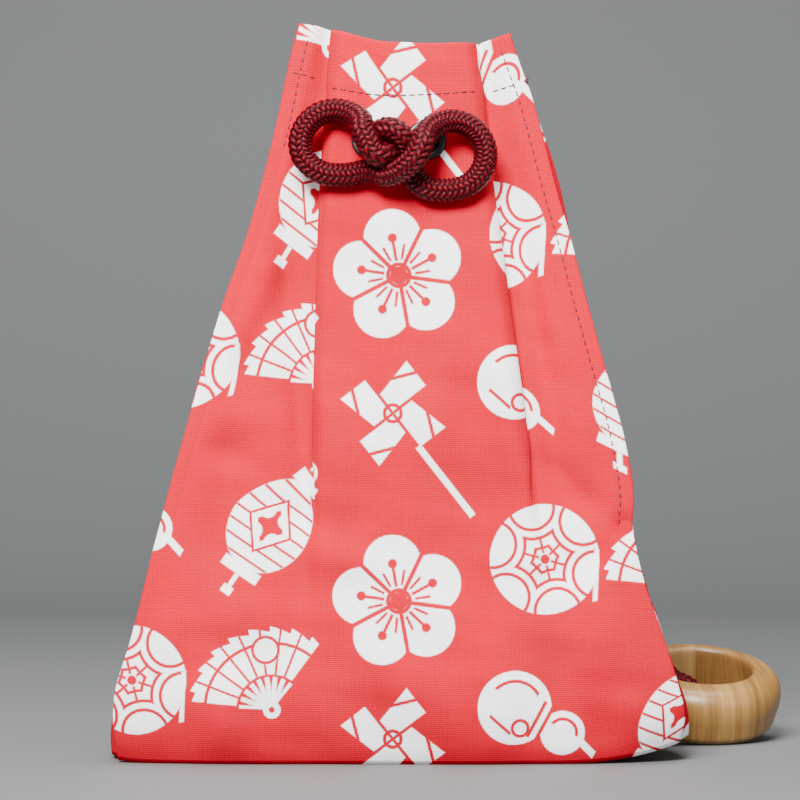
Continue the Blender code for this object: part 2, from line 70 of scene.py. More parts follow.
# ---- Braided cord ----
# A firm round braid of glossy burgundy yarn, 8.4 mm thick, ten strands each way round a core. Each
# strand passes over two and under two, so that pairs of them lie like rows of small Vs along the cord.
CORD_RADIUS = 0.0042
BRAID_STRANDS = 10
BRAID_PITCH = 0.0020
STRAND_BULK = 0.00096
STRAND_WAVE = 0.00050
STRAND_HALF = 0.51  # of a strand's share of the way round, so that neighbours just meet
STRAND_STAND = 0.00035  # how far the highest strands stand out of the cord's even thickness
# Below this share of its height a strand is painted in the near-black shade of the gap beside it.
GAP_SHARE = 0.30  # the share of a strand's height that lies in the dark gap beside it


def travel(line):
    """How far along the line each of its points lies."""
    return np.concatenate([[0], np.cumsum(np.linalg.norm(np.diff(line, axis=0), axis=1))])


def places_at(at, travelled, line):
    return np.stack([np.interp(at, travelled, line[:, k]) for k in range(3)], axis=1)


def smooth_path(places, spacing):
    """Points that far apart on a smooth curve through the places."""
    places = np.array(places, float)
    ends = [2 * places[0] - places[1], 2 * places[-1] - places[-2]]
    points = np.vstack([ends[0], places, ends[1]])
    t = np.linspace(0, 1, 24, endpoint=False)[:, None]
    fine = [
        0.5 * (2 * b + (c - a) * t + (2 * a - 5 * b + 4 * c - d) * t**2 + (3 * b - a - 3 * c + d) * t**3)
        for a, b, c, d in zip(points, points[1:], points[2:], points[3:])
    ]
    line = np.vstack([*fine, places[-1:]])
    travelled = travel(line)
    return places_at(np.linspace(0, travelled[-1], max(3, round(travelled[-1] / spacing) + 1)), travelled, line)


def unit(vectors):
    return vectors / np.linalg.norm(vectors, axis=-1, keepdims=True)


def new_mesh(name, points, faces, material):
    """An object of that material from arrays of points and of faces that all have as many corners."""
    points = np.asarray(points, np.float32).reshape(-1, 3)
    faces = np.asarray(faces, np.int32)
    count, corners = faces.shape
    mesh = bpy.data.meshes.new(name)
    mesh.vertices.add(len(points))
    mesh.vertices.foreach_set("co", points.ravel())
    mesh.loops.add(count * corners)
    mesh.loops.foreach_set("vertex_index", faces.ravel())
    mesh.polygons.add(count)
    mesh.polygons.foreach_set("loop_start", np.arange(count, dtype=np.int32) * corners)
    mesh.update(calc_edges=True)
    mesh.validate()
    mesh.shade_smooth()
    mesh.materials.append(material)
    obj = bpy.data.objects.new(name, mesh)
    bpy.context.scene.collection.objects.link(obj)
    return obj


def paint(obj, name, values):
    """Keeps a number or a vector for each point of the mesh, for its material to read."""
    values = np.asarray(values, np.float32)
    if values.ndim == 1:
        obj.data.attributes.new(name, "FLOAT", "POINT").data.foreach_set("value", values)
    else:
        obj.data.attributes.new(name, "FLOAT_VECTOR", "POINT").data.foreach_set("vector", values.ravel())


def quads_between(index):
    """The quads of a grid of point numbers."""
    return np.stack([index[:-1, :-1], index[:-1, 1:], index[1:, 1:], index[1:, :-1]], axis=2).reshape(-1, 4)


def tube_faces(rings, around):
    index = np.arange(rings * around).reshape(rings, around)
    return quads_between(np.hstack([index, index[:, :1]]))


def frames_along(path):
    """Unit tangent and two normals at each point, carried along without a twist."""
    tangents = unit(np.gradient(path, axis=0))
    sideways = np.empty_like(path)
    last = np.array((0.31, 0.17, 0.93))
    for i, tangent in enumerate(tangents):
        last = last - tangent * last.dot(tangent)
        last = last / np.linalg.norm(last)
        sideways[i] = last
    return tangents, sideways, np.cross(tangents, sideways)


def close_up(obj, *caps):
    """Closes each ring of points, told by their numbers, with a face, and turns all faces outwards."""
    build = bmesh.new()
    build.from_mesh(obj.data)
    build.verts.ensure_lookup_table()
    for cap in caps:
        build.faces.new([build.verts[i] for i in cap]).smooth = True
    bmesh.ops.recalc_face_normals(build, faces=build.faces)
    build.to_mesh(obj.data)
    build.free()


def add_braid(name, places, material, radius=CORD_RADIUS, around=96, step=0.00025):
    """A braided cord along the places. It gives the object and the centres of its rings."""
    path = smooth_path(places, step)
    tangents, sideways, upwards = frames_along(path)
    travelled = travel(path)[:, None]
    angle = np.linspace(0, 2 * math.pi, around, endpoint=False)[None, :]
    turns = angle * BRAID_STRANDS / (2 * math.pi)
    one_way = turns + travelled / BRAID_PITCH
    other_way = turns - travelled / BRAID_PITCH
    heights, acrosses = [], []
    for own, crossing, sign in ((one_way, other_way, 1), (other_way, one_way, -1)):
        number = np.round(own)
        across = own - number
        ridge = np.sqrt(np.clip(1 - (across / STRAND_HALF) ** 2, 0, 1))
        float_over = np.cos(math.pi / 2 * (crossing + number - 0.5))
        heights.append(sign * STRAND_WAVE * float_over + STRAND_BULK * ridge)
        acrosses.append(across)
    upper = heights[0] > heights[1]
    height = np.where(upper, heights[0], heights[1])
    top = STRAND_BULK + STRAND_WAVE
    spread = radius + STRAND_STAND - top + height
    inset = np.minimum(travelled, travelled[-1] - travelled)
    spread = spread * np.sqrt(np.clip(inset / (radius * 0.5), 0, 1))
    spread = np.maximum(spread, radius * 0.02)
    points = (
        path[:, None]
        + sideways[:, None] * (spread * np.cos(angle))[..., None]
        + upwards[:, None] * (spread * np.sin(angle))[..., None]
    )
    rings = len(path)
    obj = new_mesh(name, points, tube_faces(rings, around), material)
    close_up(obj, range(around)[::-1], range((rings - 1) * around, rings * around))
    # Painted shade and highlight: lift runs from 0 low in the gaps between strands, which are painted dark, to 1
    # on the strands' tops, which are painted light.
    lift = np.clip((height - GAP_SHARE * top) / ((1 - GAP_SHARE) * top), 0, 1)
    along = np.where(upper, other_way, one_way)
    strand = np.stack([np.where(upper, *acrosses), along, np.where(upper, 0.0, 5.0)], axis=2)
    paint(obj, "lift", lift.ravel())
    paint(obj, "strand", strand.reshape(-1, 3))
    return obj, path


def new_material(name):
    """An empty material with its Principled shader: (material, node tree, shader)."""
    material = bpy.data.materials.new(name)
    material.use_nodes = True
    return material, material.node_tree, material.node_tree.nodes["Principled BSDF"]


class Reading:
    """A value in a node tree, so that arithmetic on it makes the tree's Math nodes."""

    def __init__(self, tree, socket):
        self.tree = tree
        self.socket = socket

    def math(self, operation, *others, clamp=False):
        node = self.tree.nodes.new("ShaderNodeMath")
        node.operation = operation
        node.use_clamp = clamp
        for slot, value in zip(node.inputs, (self, *others)):
            if isinstance(value, Reading):
                self.tree.links.new(value.socket, slot)
            else:
                slot.default_value = value
        return Reading(self.tree, node.outputs[0])

    def __add__(self, other):
        return self.math("ADD", other)

    def __sub__(self, other):
        return self.math("SUBTRACT", other)

    def __mul__(self, other):
        return self.math("MULTIPLY", other)

    def __truediv__(self, other):
        return self.math("DIVIDE", other)

    def __neg__(self):
        return self.math("MULTIPLY", -1.0)

    def __abs__(self):
        return self.math("ABSOLUTE")

    def least(self, *others):
        found = self
        for other in others:
            found = found.math("MINIMUM", other)
        return found

    def most(self, *others):
        found = self
        for other in others:
            found = found.math("MAXIMUM", other)
        return found

    def clamped(self, more=0.0):
        """The value and more, kept from 0 to 1."""
        return self.math("ADD", more, clamp=True)

    def wrap(self, half):
        """The value brought to between -half and half by whole steps of twice half."""
        return self.math("WRAP", half, -half)

    def below(self, edge, soft):
        """1 where the value is under the edge, 0 where it is over, with a soft step between."""
        return ((-self + edge) / soft + 0.5).clamped()

    def goes_to(self, socket):
        self.tree.links.new(self.socket, socket)


def read_attribute(tree, name, output="Vector"):
    node = tree.nodes.new("ShaderNodeAttribute")
    node.attribute_name = name
    return node.outputs[output]


def object_place(tree):
    return tree.nodes.new("ShaderNodeTexCoord").outputs["Object"]


def axes_of(tree, socket):
    """The X, Y and Z of a vector."""
    node = tree.nodes.new("ShaderNodeSeparateXYZ")
    tree.links.new(socket, node.inputs[0])
    return [Reading(tree, output) for output in node.outputs]


def vector_of(tree, *values):
    node = tree.nodes.new("ShaderNodeCombineXYZ")
    for slot, value in zip(node.inputs, values):
        if isinstance(value, Reading):
            tree.links.new(value.socket, slot)
        else:
            slot.default_value = value
    return node.outputs[0]


def noise_at(tree, place, scale, detail=3.0, roughness=0.55):
    node = tree.nodes.new("ShaderNodeTexNoise")
    tree.links.new(place, node.inputs["Vector"])
    node.inputs["Scale"].default_value = scale
    node.inputs["Detail"].default_value = detail
    node.inputs["Roughness"].default_value = roughness
    return Reading(tree, node.outputs["Fac"])


def colour_steps(tree, reading, *steps):
    """A colour for the reading: each step is (position, (red, green, blue))."""
    node = tree.nodes.new("ShaderNodeValToRGB")
    reading.goes_to(node.inputs["Fac"])
    marks = node.color_ramp.elements
    while len(marks) < len(steps):
        marks.new(0.5)
    for mark, (position, colour) in zip(marks, steps):
        mark.position = position
        mark.color = (*colour, 1)
    return node.outputs["Color"]


def mixed(tree, share, first, second):
    """A colour between two, which are sockets or (red, green, blue)."""
    node = tree.nodes.new("ShaderNodeMix")
    node.data_type = "RGBA"
    share.goes_to(node.inputs["Factor"])
    for slot, colour in (("A", first), ("B", second)):
        socket = [i for i in node.inputs if i.name == slot and i.type == "RGBA"][0]
        if isinstance(colour, tuple):
            socket.default_value = (*colour, 1)
        else:
            tree.links.new(colour, socket)
    return [o for o in node.outputs if o.type == "RGBA"][0]


def bump_from(tree, height, distance, strength=1.0):
    node = tree.nodes.new("ShaderNodeBump")
    node.inputs["Distance"].default_value = distance
    node.inputs["Strength"].default_value = strength
    height.goes_to(node.inputs["Height"])
    return node.outputs["Normal"]


# The middle colour is the yarn's own. The darkest is painted shade for the gaps between strands, and the lightest
# is a painted highlight on the strands' tops.
YARN_GAP_PAINTED_SHADE = (0.0015, 0.0000, 0.0001)
YARN_BODY = (0.0280, 0.0001, 0.0010)
YARN_TOP_PAINTED_HIGHLIGHT = (0.1250, 0.0010, 0.0060)
CORD_YARN, tree, shader = new_material("burgundy_braid")
lift = Reading(tree, read_attribute(tree, "lift", "Fac"))
strand = read_attribute(tree, "strand")
across, along, which = axes_of(tree, strand)
fibres = (across * 24.0 + along * 1.6).math("SINE") * 0.5 + 0.5
speckle = noise_at(tree, vector_of(tree, across * 9.0, along * 1.3, which), 2.0, 3.0)
tone = lift * (speckle * 0.7 + 0.60) + (fibres - 0.5) * 0.14
tree.links.new(
    colour_steps(tree, tone, (0.10, YARN_GAP_PAINTED_SHADE), (0.60, YARN_BODY), (1.0, YARN_TOP_PAINTED_HIGHLIGHT)), shader.inputs["Base Color"]
)
(speckle * 0.16 + 0.27).goes_to(shader.inputs["Roughness"])
shader.inputs["Specular IOR Level"].default_value = 0.34
shader.inputs["Specular Tint"].default_value = (1.0, 0.30, 0.36, 1)
tree.links.new(bump_from(tree, fibres * 0.6 + speckle * 0.8, 0.00012), shader.inputs["Normal"])

# The two free tails, from the back eyelets down the back wall and along the floor to the ring. Each
# is one length of cord with the strand that holds the ring. It bends where the ring is lifted.
tail_left = (
    (-0.0100, 0.0230, 0.2285), (-0.0101, 0.0300, 0.2284), (-0.0106, 0.0390, 0.2240), (-0.0113, 0.0440, 0.2110),
    (-0.0118, 0.0432, 0.1950), (-0.0124, 0.0415, 0.1700), (-0.0130, 0.0410, 0.1450), (-0.0136, 0.0425, 0.1150),
    (-0.0142, 0.0450, 0.0850), (-0.0146, 0.0475, 0.0550), (-0.0140, 0.0500, 0.0320), (-0.0110, 0.0560, 0.0150),
    (-0.0040, 0.0680, 0.0060), (0.0090, 0.0850, 0.0044), (0.0270, 0.1050, 0.0044), (0.0480, 0.1230, 0.0044),
    (0.0720, 0.1350, 0.0044), (0.0930, 0.1350, 0.0044), (0.1060, 0.1240, 0.0044), (0.1100, 0.1070, 0.0044),
    (0.1106, 0.1010, 0.0050), (0.1115, 0.0930, 0.0062), (0.1126, 0.0850, 0.0071), (0.1136, 0.0770, 0.0074),
    (0.1142, 0.0716, 0.0076), (0.1146, 0.0680, 0.0084),
)
tail_right = (
    (0.0100, 0.0230, 0.2285), (0.0101, 0.0300, 0.2284), (0.0106, 0.0390, 0.2240), (0.0113, 0.0440, 0.2110),
    (0.0118, 0.0432, 0.1950), (0.0126, 0.0415, 0.1700), (0.0134, 0.0410, 0.1450), (0.0142, 0.0425, 0.1150),
    (0.0150, 0.0450, 0.0850), (0.0160, 0.0475, 0.0550), (0.0180, 0.0500, 0.0320), (0.0225, 0.0530, 0.0150),
    (0.0320, 0.0560, 0.0060), (0.0430, 0.0568, 0.0044), (0.0530, 0.0566, 0.0044), (0.0636, 0.0566, 0.0046),
    (0.0662, 0.0567, 0.0058), (0.0698, 0.0570, 0.0105), (0.0735, 0.0573, 0.0180), (0.0775, 0.0577, 0.0270),
    (0.0820, 0.0581, 0.0345), (0.0875, 0.0586, 0.0380), (0.0930, 0.0590, 0.0384), (0.0984, 0.0594, 0.0362),
    (0.1027, 0.0598, 0.0315), (0.1058, 0.0602, 0.0266), (0.1094, 0.0606, 0.0230), (0.1136, 0.0611, 0.0212),
    (0.1170, 0.0616, 0.0180), (0.1178, 0.0620, 0.0130),
)


for name, places, nodes in (
    ("left_cord_tail", tail_left, ("cord_tail_left", "ring_strand_under")),
    ("right_cord_tail", tail_right, ("cord_tail_right", "ring_strand_over")),
):
    tail, path = add_braid(name, places, CORD_YARN, around=80, step=0.0004)
    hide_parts(*nodes)
    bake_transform(tail)

# Inside the mouth each end of the cord runs back through the two leaves of the gusset.
run_places = (
    (0.0100, -0.0235, 0.2285), (0.0100, -0.0210, 0.2285), (0.0101, -0.0182, 0.2286),
    (0.0122, -0.0158, 0.2289), (0.0163, -0.0152, 0.2296), (0.0207, -0.0150, 0.2305),
    (0.0246, -0.0127, 0.2312), (0.0276, -0.0074, 0.2315), (0.0297, -0.0037, 0.2317), (0.0303, 0.0, 0.2317),
)
for side, hand in ((-1, "left"), (1, "right")):
    half = [(side * x, y, z) for x, y, z in run_places]
    places = half + [(x, -y, z) for x, y, z in half[-2::-1]]
    run, path = add_braid(f"{hand}_cord_run", places, CORD_YARN, around=80, step=0.0004)
    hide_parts(f"cord_run_{hand}")
    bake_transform(run)

# ---- Bow ----
# One length of the braided cord, out of one front eyelet and into the other. Its two round loops lie on
# the front wall. Between them the cord wraps over itself, so that the knot stands out in three lobes.
bow_places = (
    (-0.0100, -0.0238, 0.2285), (-0.0097, -0.0284, 0.2290), (-0.0070, -0.0320, 0.2299),
    (-0.0052, -0.0358, 0.2313), (-0.0016, -0.0380, 0.2307), (0.0016, -0.0375, 0.2280),
    (0.0035, -0.0349, 0.2247), (0.0046, -0.0325, 0.2208), (0.0045, -0.0297, 0.2171),
    (0.0065, -0.0294, 0.2130), (0.0104, -0.0298, 0.2103), (0.0151, -0.0298, 0.2095),
    (0.0199, -0.0297, 0.2097), (0.0244, -0.0296, 0.2111), (0.0282, -0.0292, 0.2140),
    (0.0308, -0.0288, 0.2181), (0.0317, -0.0283, 0.2227), (0.0307, -0.0280, 0.2274),
    (0.0280, -0.0281, 0.2313), (0.0241, -0.0289, 0.2339), (0.0197, -0.0304, 0.2348),
    (0.0154, -0.0325, 0.2340), (0.0119, -0.0352, 0.2321), (0.0096, -0.0382, 0.2291),
    (0.0084, -0.0412, 0.2253), (0.0061, -0.0415, 0.2207), (0.0027, -0.0396, 0.2175),
    (-0.0008, -0.0365, 0.2156), (-0.0049, -0.0337, 0.2150), (-0.0088, -0.0311, 0.2166),
    (-0.0133, -0.0294, 0.2164), (-0.0181, -0.0292, 0.2154), (-0.0229, -0.0292, 0.2152),
    (-0.0276, -0.0291, 0.2160), (-0.0318, -0.0288, 0.2183), (-0.0349, -0.0284, 0.2219),
    (-0.0361, -0.0280, 0.2265), (-0.0352, -0.0275, 0.2311), (-0.0326, -0.0271, 0.2351),
    (-0.0287, -0.0270, 0.2379), (-0.0240, -0.0272, 0.2390), (-0.0195, -0.0284, 0.2384),
    (-0.0157, -0.0306, 0.2365), (-0.0136, -0.0339, 0.2339), (-0.0132, -0.0369, 0.2303),
    (-0.0113, -0.0384, 0.2264), (-0.0096, -0.0390, 0.2228), (-0.0065, -0.0380, 0.2215),
    (-0.0041, -0.0350, 0.2226), (-0.0027, -0.0307, 0.2229), (0.0003, -0.0279, 0.2254),
    (0.0048, -0.0277, 0.2274), (0.0100, -0.0238, 0.2285),
)
bow, path = add_braid("tied_bow", bow_places, CORD_YARN)
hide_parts("bow_knot")
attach(bow, "front_wall")

# ---- End knot ----
# The two ends of the cord are tied together in one tight knot inside the ring, which keeps the ring on.
KNOT_RADIUS = 0.0036
KNOT_REACH, KNOT_SWAY, KNOT_RISE = 0.0045, 0.0020, 0.0038


def middle_of(node):
    low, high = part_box(node)
    return (np.array(low) + np.array(high)) / 2


turn = np.linspace(0, 2 * math.pi, 25)
out = KNOT_REACH + KNOT_SWAY * np.cos(3 * turn)
knot_places = [out * np.cos(2 * turn) * 1.05, out * np.sin(2 * turn) * 0.85, KNOT_RISE * np.sin(3 * turn)]
knot_places = np.stack(knot_places, axis=1) + middle_of("end_knot")
end_knot, _ = add_braid("tied_end_knot", knot_places, CORD_YARN, radius=KNOT_RADIUS, around=48, step=0.0005)
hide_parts("end_knot")
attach(end_knot, "cord_end")

# ---- Printed cotton ----
# A plain weave of coarse dyed cotton, coral red, printed in white. The white design here is a generic
# scatter of a folding fan, a plum blossom, a pinwheel, a gourd, a paper lantern and a thread ball.
THREAD_PITCH = 0.00074
REPEAT_X = 150.0
REPEAT_Y = 118.0
REPEAT_DROP = 44.0


def new_group(name, inputs, outputs):
    """A shader node group with named sockets: (group, its input node, its output node)."""
    group = bpy.data.node_groups.new(name, "ShaderNodeTree")
    for label, kind in inputs:
        group.interface.new_socket(name=label, in_out="INPUT", socket_type=kind)
    for label, kind in outputs:
        group.interface.new_socket(name=label, in_out="OUTPUT", socket_type=kind)
    return group, group.nodes.new("NodeGroupInput"), group.nodes.new("NodeGroupOutput")


def place_group(tree, group, **inputs):
    """The group in a tree, with its inputs linked or set. It gives the node."""
    node = tree.nodes.new("ShaderNodeGroup")
    node.node_tree = group
    for label, value in inputs.items():
        socket = node.inputs[label.replace("_", " ")]
        if isinstance(value, Reading):
            value.goes_to(socket)
        elif isinstance(value, bpy.types.NodeSocket):
            tree.links.new(value, socket)
        else:
            socket.default_value = value
    return node


# Plain weave: threads of two directions pass over and under each other, with slubs and small gaps.
WEAVE, given, gives = new_group(
    "plain_weave",
    (("Cloth Place", "NodeSocketVector"), ("Pitch", "NodeSocketFloat")),
    (("Height", "NodeSocketFloat"), ("Slub", "NodeSocketFloat")),
)
cloth_place = given.outputs["Cloth Place"]
pitch = Reading(WEAVE, given.outputs["Pitch"])
drift = noise_at(WEAVE, cloth_place, 180.0, 2.0) - 0.5
u, v, _ = axes_of(WEAVE, cloth_place)
warp = u / pitch + drift * 0.9
weft = v / pitch + drift * -0.8
checker = ((warp.math("FLOOR") + weft.math("FLOOR")) * 0.5).math("FRACT") * 2.0
heights = []
for own, crossing in ((warp, weft), (weft, warp)):
    body = (own * math.pi).math("SINE").math("ABSOLUTE").math("POWER", 0.6)
    arch = (crossing * math.pi).math("SINE").math("ABSOLUTE") * 0.5 + 0.5
    heights.append(body * arch)
slub_warp = noise_at(WEAVE, vector_of(WEAVE, warp * 0.9, weft * 0.06, 0.0), 1.0, 2.0)
slub_weft = noise_at(WEAVE, vector_of(WEAVE, warp * 0.06, weft * 0.9, 7.0), 1.0, 2.0)
over = heights[0] * (-checker + 1.0) + heights[1] * checker
(over * 0.8 + 0.1).goes_to(gives.inputs["Height"])
(slub_warp * (-checker + 1.0) + slub_weft * checker).goes_to(gives.inputs["Slub"])

# The print's design, in millimetres of the flat cloth. Its value is 1 where the white lies.
PRINT, given, gives = new_group(
    "scattered_motifs",
    (("Cloth Place", "NodeSocketVector"), ("Roughening", "NodeSocketFloat")),
    (("White", "NodeSocketFloat"),),
)
u, v, _ = axes_of(PRINT, given.outputs["Cloth Place"])
u, v = u * 1000.0, v * 1000.0


def local(across, up, turned, size):
    """The place within the nearest copy of a motif whose own middle is at (across, up), turned by degrees."""
    x = u - across
    column = (x / REPEAT_X).math("ROUND")
    x = x - column * REPEAT_X
    y = (v - up - column * REPEAT_DROP).wrap(REPEAT_Y / 2)
    c, s = math.cos(math.radians(turned)), math.sin(math.radians(turned))
    return (x * c + y * s) / size, (y * c - x * s) / size


def reach(x, y):
    return (x * x + y * y).math("SQRT")


def bearing(x, y):
    """The angle from straight up."""
    return x.math("ARCTAN2", y)


def disc(x, y, middle_x, middle_y, radius):
    return reach(x - middle_x, y - middle_y) - radius


def block(x, y, middle_x, middle_y, half_x, half_y):
    return (abs(x - middle_x) - half_x).most(abs(y - middle_y) - half_y)


def band(value, middle, half):
    return abs(value - middle) - half


def without(shape, *cuts):
    return shape.most(*(-cut for cut in cuts))


def folding_fan(x, y):
    y = y + 13.0
    r, a = reach(x, y), bearing(x, y)
    ribs = a.wrap(0.1325) * r
    leaf = (r - 27.0).most(-r + 11.5, (abs(a) - 1.06) * r)
    pleats = (ribs / 6.0) * 1.6
    leaf = leaf.most(r - 26.0 + pleats)
    arc = band(r, 21.5, 0.55)
    moon = disc(x, y, 6.0, 18.5, 4.2)
    leaf = without(leaf, band(ribs, 0.0, 0.4).most(moon * -1.0), arc.most(moon * -1.0), band(moon, 0.0, 0.5))
    sticks = band(ribs, 0.0, 0.75).most(r - 10.6, -r + 2.0, (abs(a) - 1.1) * r)
    return leaf.least(sticks, without(r - 2.9, r - 1.0))


def plum_blossom(x, y):
    r, a = reach(x, y), bearing(x, y).wrap(math.pi / 5)
    px, py = r * a.math("COSINE"), r * a.math("SINE")
    petals = disc(px, py, 10.4, 0.0, 7.9)
    gap = -(abs(a) - math.pi / 5) * r - 0.6
    stamens = band(py, 0.0, 0.45).most(px - 9.6, -px + 4.0).least(disc(px, py, 10.4, 0.0, 1.3))
    side_stamens = band(abs(py) - px * 0.36, 0.0, 0.4).most(px - 8.2, -px + 4.2)
    return without(petals, gap, stamens, side_stamens, band(r, 3.0, 0.6))


def pinwheel(x, y):
    up = y - 8.0
    r = reach(x, up)
    a = (bearing(x, up) - math.pi / 4).wrap(math.pi / 4)
    px, py = r * a.math("COSINE"), r * a.math("SINE")
    blade = (px * 0.72 + py * 0.72 - 12.6).most(px * 0.55 - py * 0.9 - 6.6, (abs(a) - math.pi / 4) * r + 0.5)
    fold = band(px * 0.9 + py * -0.35, 9.4, 0.5)
    stick = block(x, y, 0.0, -16.0, 0.95, 13.5)
    head = band(r, 2.4, 0.55)
    return without(without(blade, fold), head).least(stick.most(-r + 12.0))


def gourd(x, y):
    lower, upper = disc(x, y, 0.0, -7.5, 11.0), disc(x, y, 0.0, 8.8, 6.6)
    waist = block(x, y, 0.0, 1.6, 3.6, 3.4)
    stem = band(x - (y - 15.0) * 0.35, 0.0, 1.1).most(y - 20.5, -y + 14.6)
    sheen = band(disc(x, y, 0.0, -7.5, 8.0), 0.0, 0.5).most(x + 2.5, y + 3.0)
    glint = band(disc(x, y, 0.0, 8.8, 4.2), 0.0, 0.5).most(x + 1.0)
    tie = band(y - 2.6, 0.0, 0.55).least(band(y + 0.1, 0.0, 0.55)).most(abs(x) - 6.0)
    knot = band(disc(x, y, 4.6, -3.2, 2.4), 0.0, 0.5)
    knot = knot.least(band(x - 6.4 - (y + 9.0) * 0.25, 0.0, 0.5).most(abs(y + 9.0) - 4.0))
    return without(lower.least(upper, waist, stem), sheen, glint, tie, knot)


def paper_lantern(x, y):
    body = (reach(x / 12.6, y / 15.2) - 1.0) * 12.0
    caps = block(x, y, 0.0, 16.0, 6.4, 1.7).least(block(x, y, 0.0, -16.0, 6.4, 1.7))
    handle = band(disc(x, y, 0.0, 19.8, 3.4), 0.0, 0.6).most(-y + 18.4)
    tassel = block(x, y, 0.0, -20.6, 0.7, 2.8).least(block(x, y, 0.0, -23.4, 1.7, 1.3))
    hoops = band(y.wrap(2.1), 0.0, 0.38)
    window = abs(x) + abs(y) * 0.8 - 7.4
    petal_x, petal_y = abs(x), abs(y)
    star = (petal_x + petal_y * 0.8 - 4.6).most(-(reach(petal_x - 3.4, petal_y - 3.8) - 2.6))
    return without(body.least(caps, handle, tassel), hoops.most(-window, body), band(window, 0.0, 0.5), star)


def thread_ball(x, y):
    r, a = reach(x, y), bearing(x, y).wrap(math.pi / 6)
    px, py = r * a.math("COSINE"), r * a.math("SINE")
    outer = band(disc(px, py, 15.5, 0.0, 9.2), 0.0, 0.5)
    inner = band(disc(px, py, 15.5, 0.0, 6.6), 0.0, 0.5)
    heart = band(disc(px, py, 15.5, 0.0, 12.2), 0.0, 0.45)
    rays = band(py, 0.0, 0.4).most(-px + 1.8, px - 6.2)
    tails = band(x - 15.0 - (y + 2.0) * 0.3, 0.0, 0.7).most(abs(y + 8.0) - 7.0)
    return without(r - 15.8, outer, inner, heart, rays, r - 1.4).least(tails)


layout = (
    (folding_fan, -52.0, 34.0, 24.0, 1.12),
    (paper_lantern, -47.0, 87.0, -34.0, 1.18),
    (plum_blossom, 0.0, 60.0, 10.0, 1.32),
    (pinwheel, 4.0, 2.0, 38.0, 1.26),
    (gourd, 50.0, 17.0, -118.0, 1.22),
    (thread_ball, 53.0, 75.0, 14.0, 1.26),
)
shapes = [motif(*local(*place)) for motif, *place in layout]
nearest = shapes[0].least(*shapes[1:])
roughening = Reading(PRINT, given.outputs["Roughening"])
(nearest + roughening * 0.35).below(0.0, 0.34).goes_to(gives.inputs["White"])

# The darker gap colours are painted shade between the threads. In the white print the gap colour is also pinker,
# where the red cloth shows through the thin print.
CORAL_THREAD = (0.560, 0.0000, 0.0190)
CORAL_GAP_PAINTED_SHADE = (0.250, 0.0000, 0.0050)
WHITE_INK = (0.970, 0.960, 0.955)
WHITE_GAP_PINK_AND_PAINTED_SHADE = (0.720, 0.560, 0.560)
PRINTED_COTTON, tree, shader = new_material("printed_cotton")
cloth_place = read_attribute(tree, "cloth")
weave = place_group(tree, WEAVE, Cloth_Place=cloth_place, Pitch=THREAD_PITCH)
height = Reading(tree, weave.outputs["Height"])
slub = Reading(tree, weave.outputs["Slub"])
printed = place_group(tree, PRINT, Cloth_Place=cloth_place, Roughening=height - 0.5)
white = Reading(tree, printed.outputs["White"])
fading = noise_at(tree, cloth_place, 14.0, 3.0)
# Low places of the weave are painted darker, as painted shade in its gaps. Slubs and fading vary the tone at
# random.
thread_tone = height * 0.75 + slub * 0.5 + (fading - 0.5) * 0.25
red = mixed(tree, thread_tone.clamped(), CORAL_GAP_PAINTED_SHADE, CORAL_THREAD)
ink = mixed(tree, (height * 1.6).clamped(0.12), WHITE_GAP_PINK_AND_PAINTED_SHADE, WHITE_INK)
tree.links.new(mixed(tree, white, red, ink), shader.inputs["Base Color"])
(slub * 0.16 + 0.76).goes_to(shader.inputs["Roughness"])
shader.inputs["Specular IOR Level"].default_value = 0.06
relief = height + slub * 0.45 + white * 0.12
tree.links.new(bump_from(tree, relief, 0.00016, 0.9), shader.inputs["Normal"])

# ---- Front and back ----
# Each is one piece of the printed cotton from the base seam to a turned-in hem at the mouth. A box
# pleat is folded in its middle, pressed at the mouth and gone above the base.
BODY_HEIGHT = 0.2625
HEM_HEIGHT = 0.2430
CLOTH = 0.0009
HEM_CLOTH = 0.0017
SEAM_FLANGE = 0.0050
WALL_CROWN = 0.0020
CORNER_PULL = 0.0055
SIDE_SINK = 0.0042
MIDDLE_PUFF = 0.0022
SEAM_END = 0.085
PLEAT_RAISE = 0.0035
FOLD_BACK = 0.0066
EYELET_HEIGHT = 0.2285
EYELET_X = 0.0100
HOLE_RADIUS = 0.0058
BACK_SHOWS = 0.0046  # how far the back's edge shows beyond the front's
RIGHT_LIFT, LEFT_LIFT, LIFT_TOP = 0.0080, 0.0010, 0.060
MOUTH_HALF = 0.045  # places across the mouth's edge are told as shares of this

# Height, how far out the left edge lies and how far out the right edge lies
edge_table = np.array((
    (0.000, 0.1034, 0.1030), (0.008, 0.1042, 0.1046), (0.024, 0.1038, 0.1020), (0.046, 0.0976, 0.0963),
    (0.068, 0.0920, 0.0890), (0.078, 0.0896, 0.0866), (0.087, 0.0872, 0.0852), (0.097, 0.0847, 0.0857),
    (0.118, 0.0790, 0.0826), (0.146, 0.0711, 0.0752), (0.169, 0.0640, 0.0690), (0.190, 0.0564, 0.0635),
    (0.210, 0.0504, 0.0577), (0.230, 0.0452, 0.0524), (0.242, 0.0425, 0.0488), (0.251, 0.0404, 0.0452),
    (0.2625, 0.0372, 0.0412),
))
# Height, and how far out the pleat's left and right edges lie
pleat_table = np.array((
    (0.000, 0.0345, 0.0580), (0.060, 0.0330, 0.0540), (0.086, 0.0323, 0.0512), (0.126, 0.0312, 0.0460),
    (0.170, 0.0302, 0.0402), (0.210, 0.0288, 0.0348), (0.240, 0.0265, 0.0312), (0.2625, 0.0245, 0.0278),
))
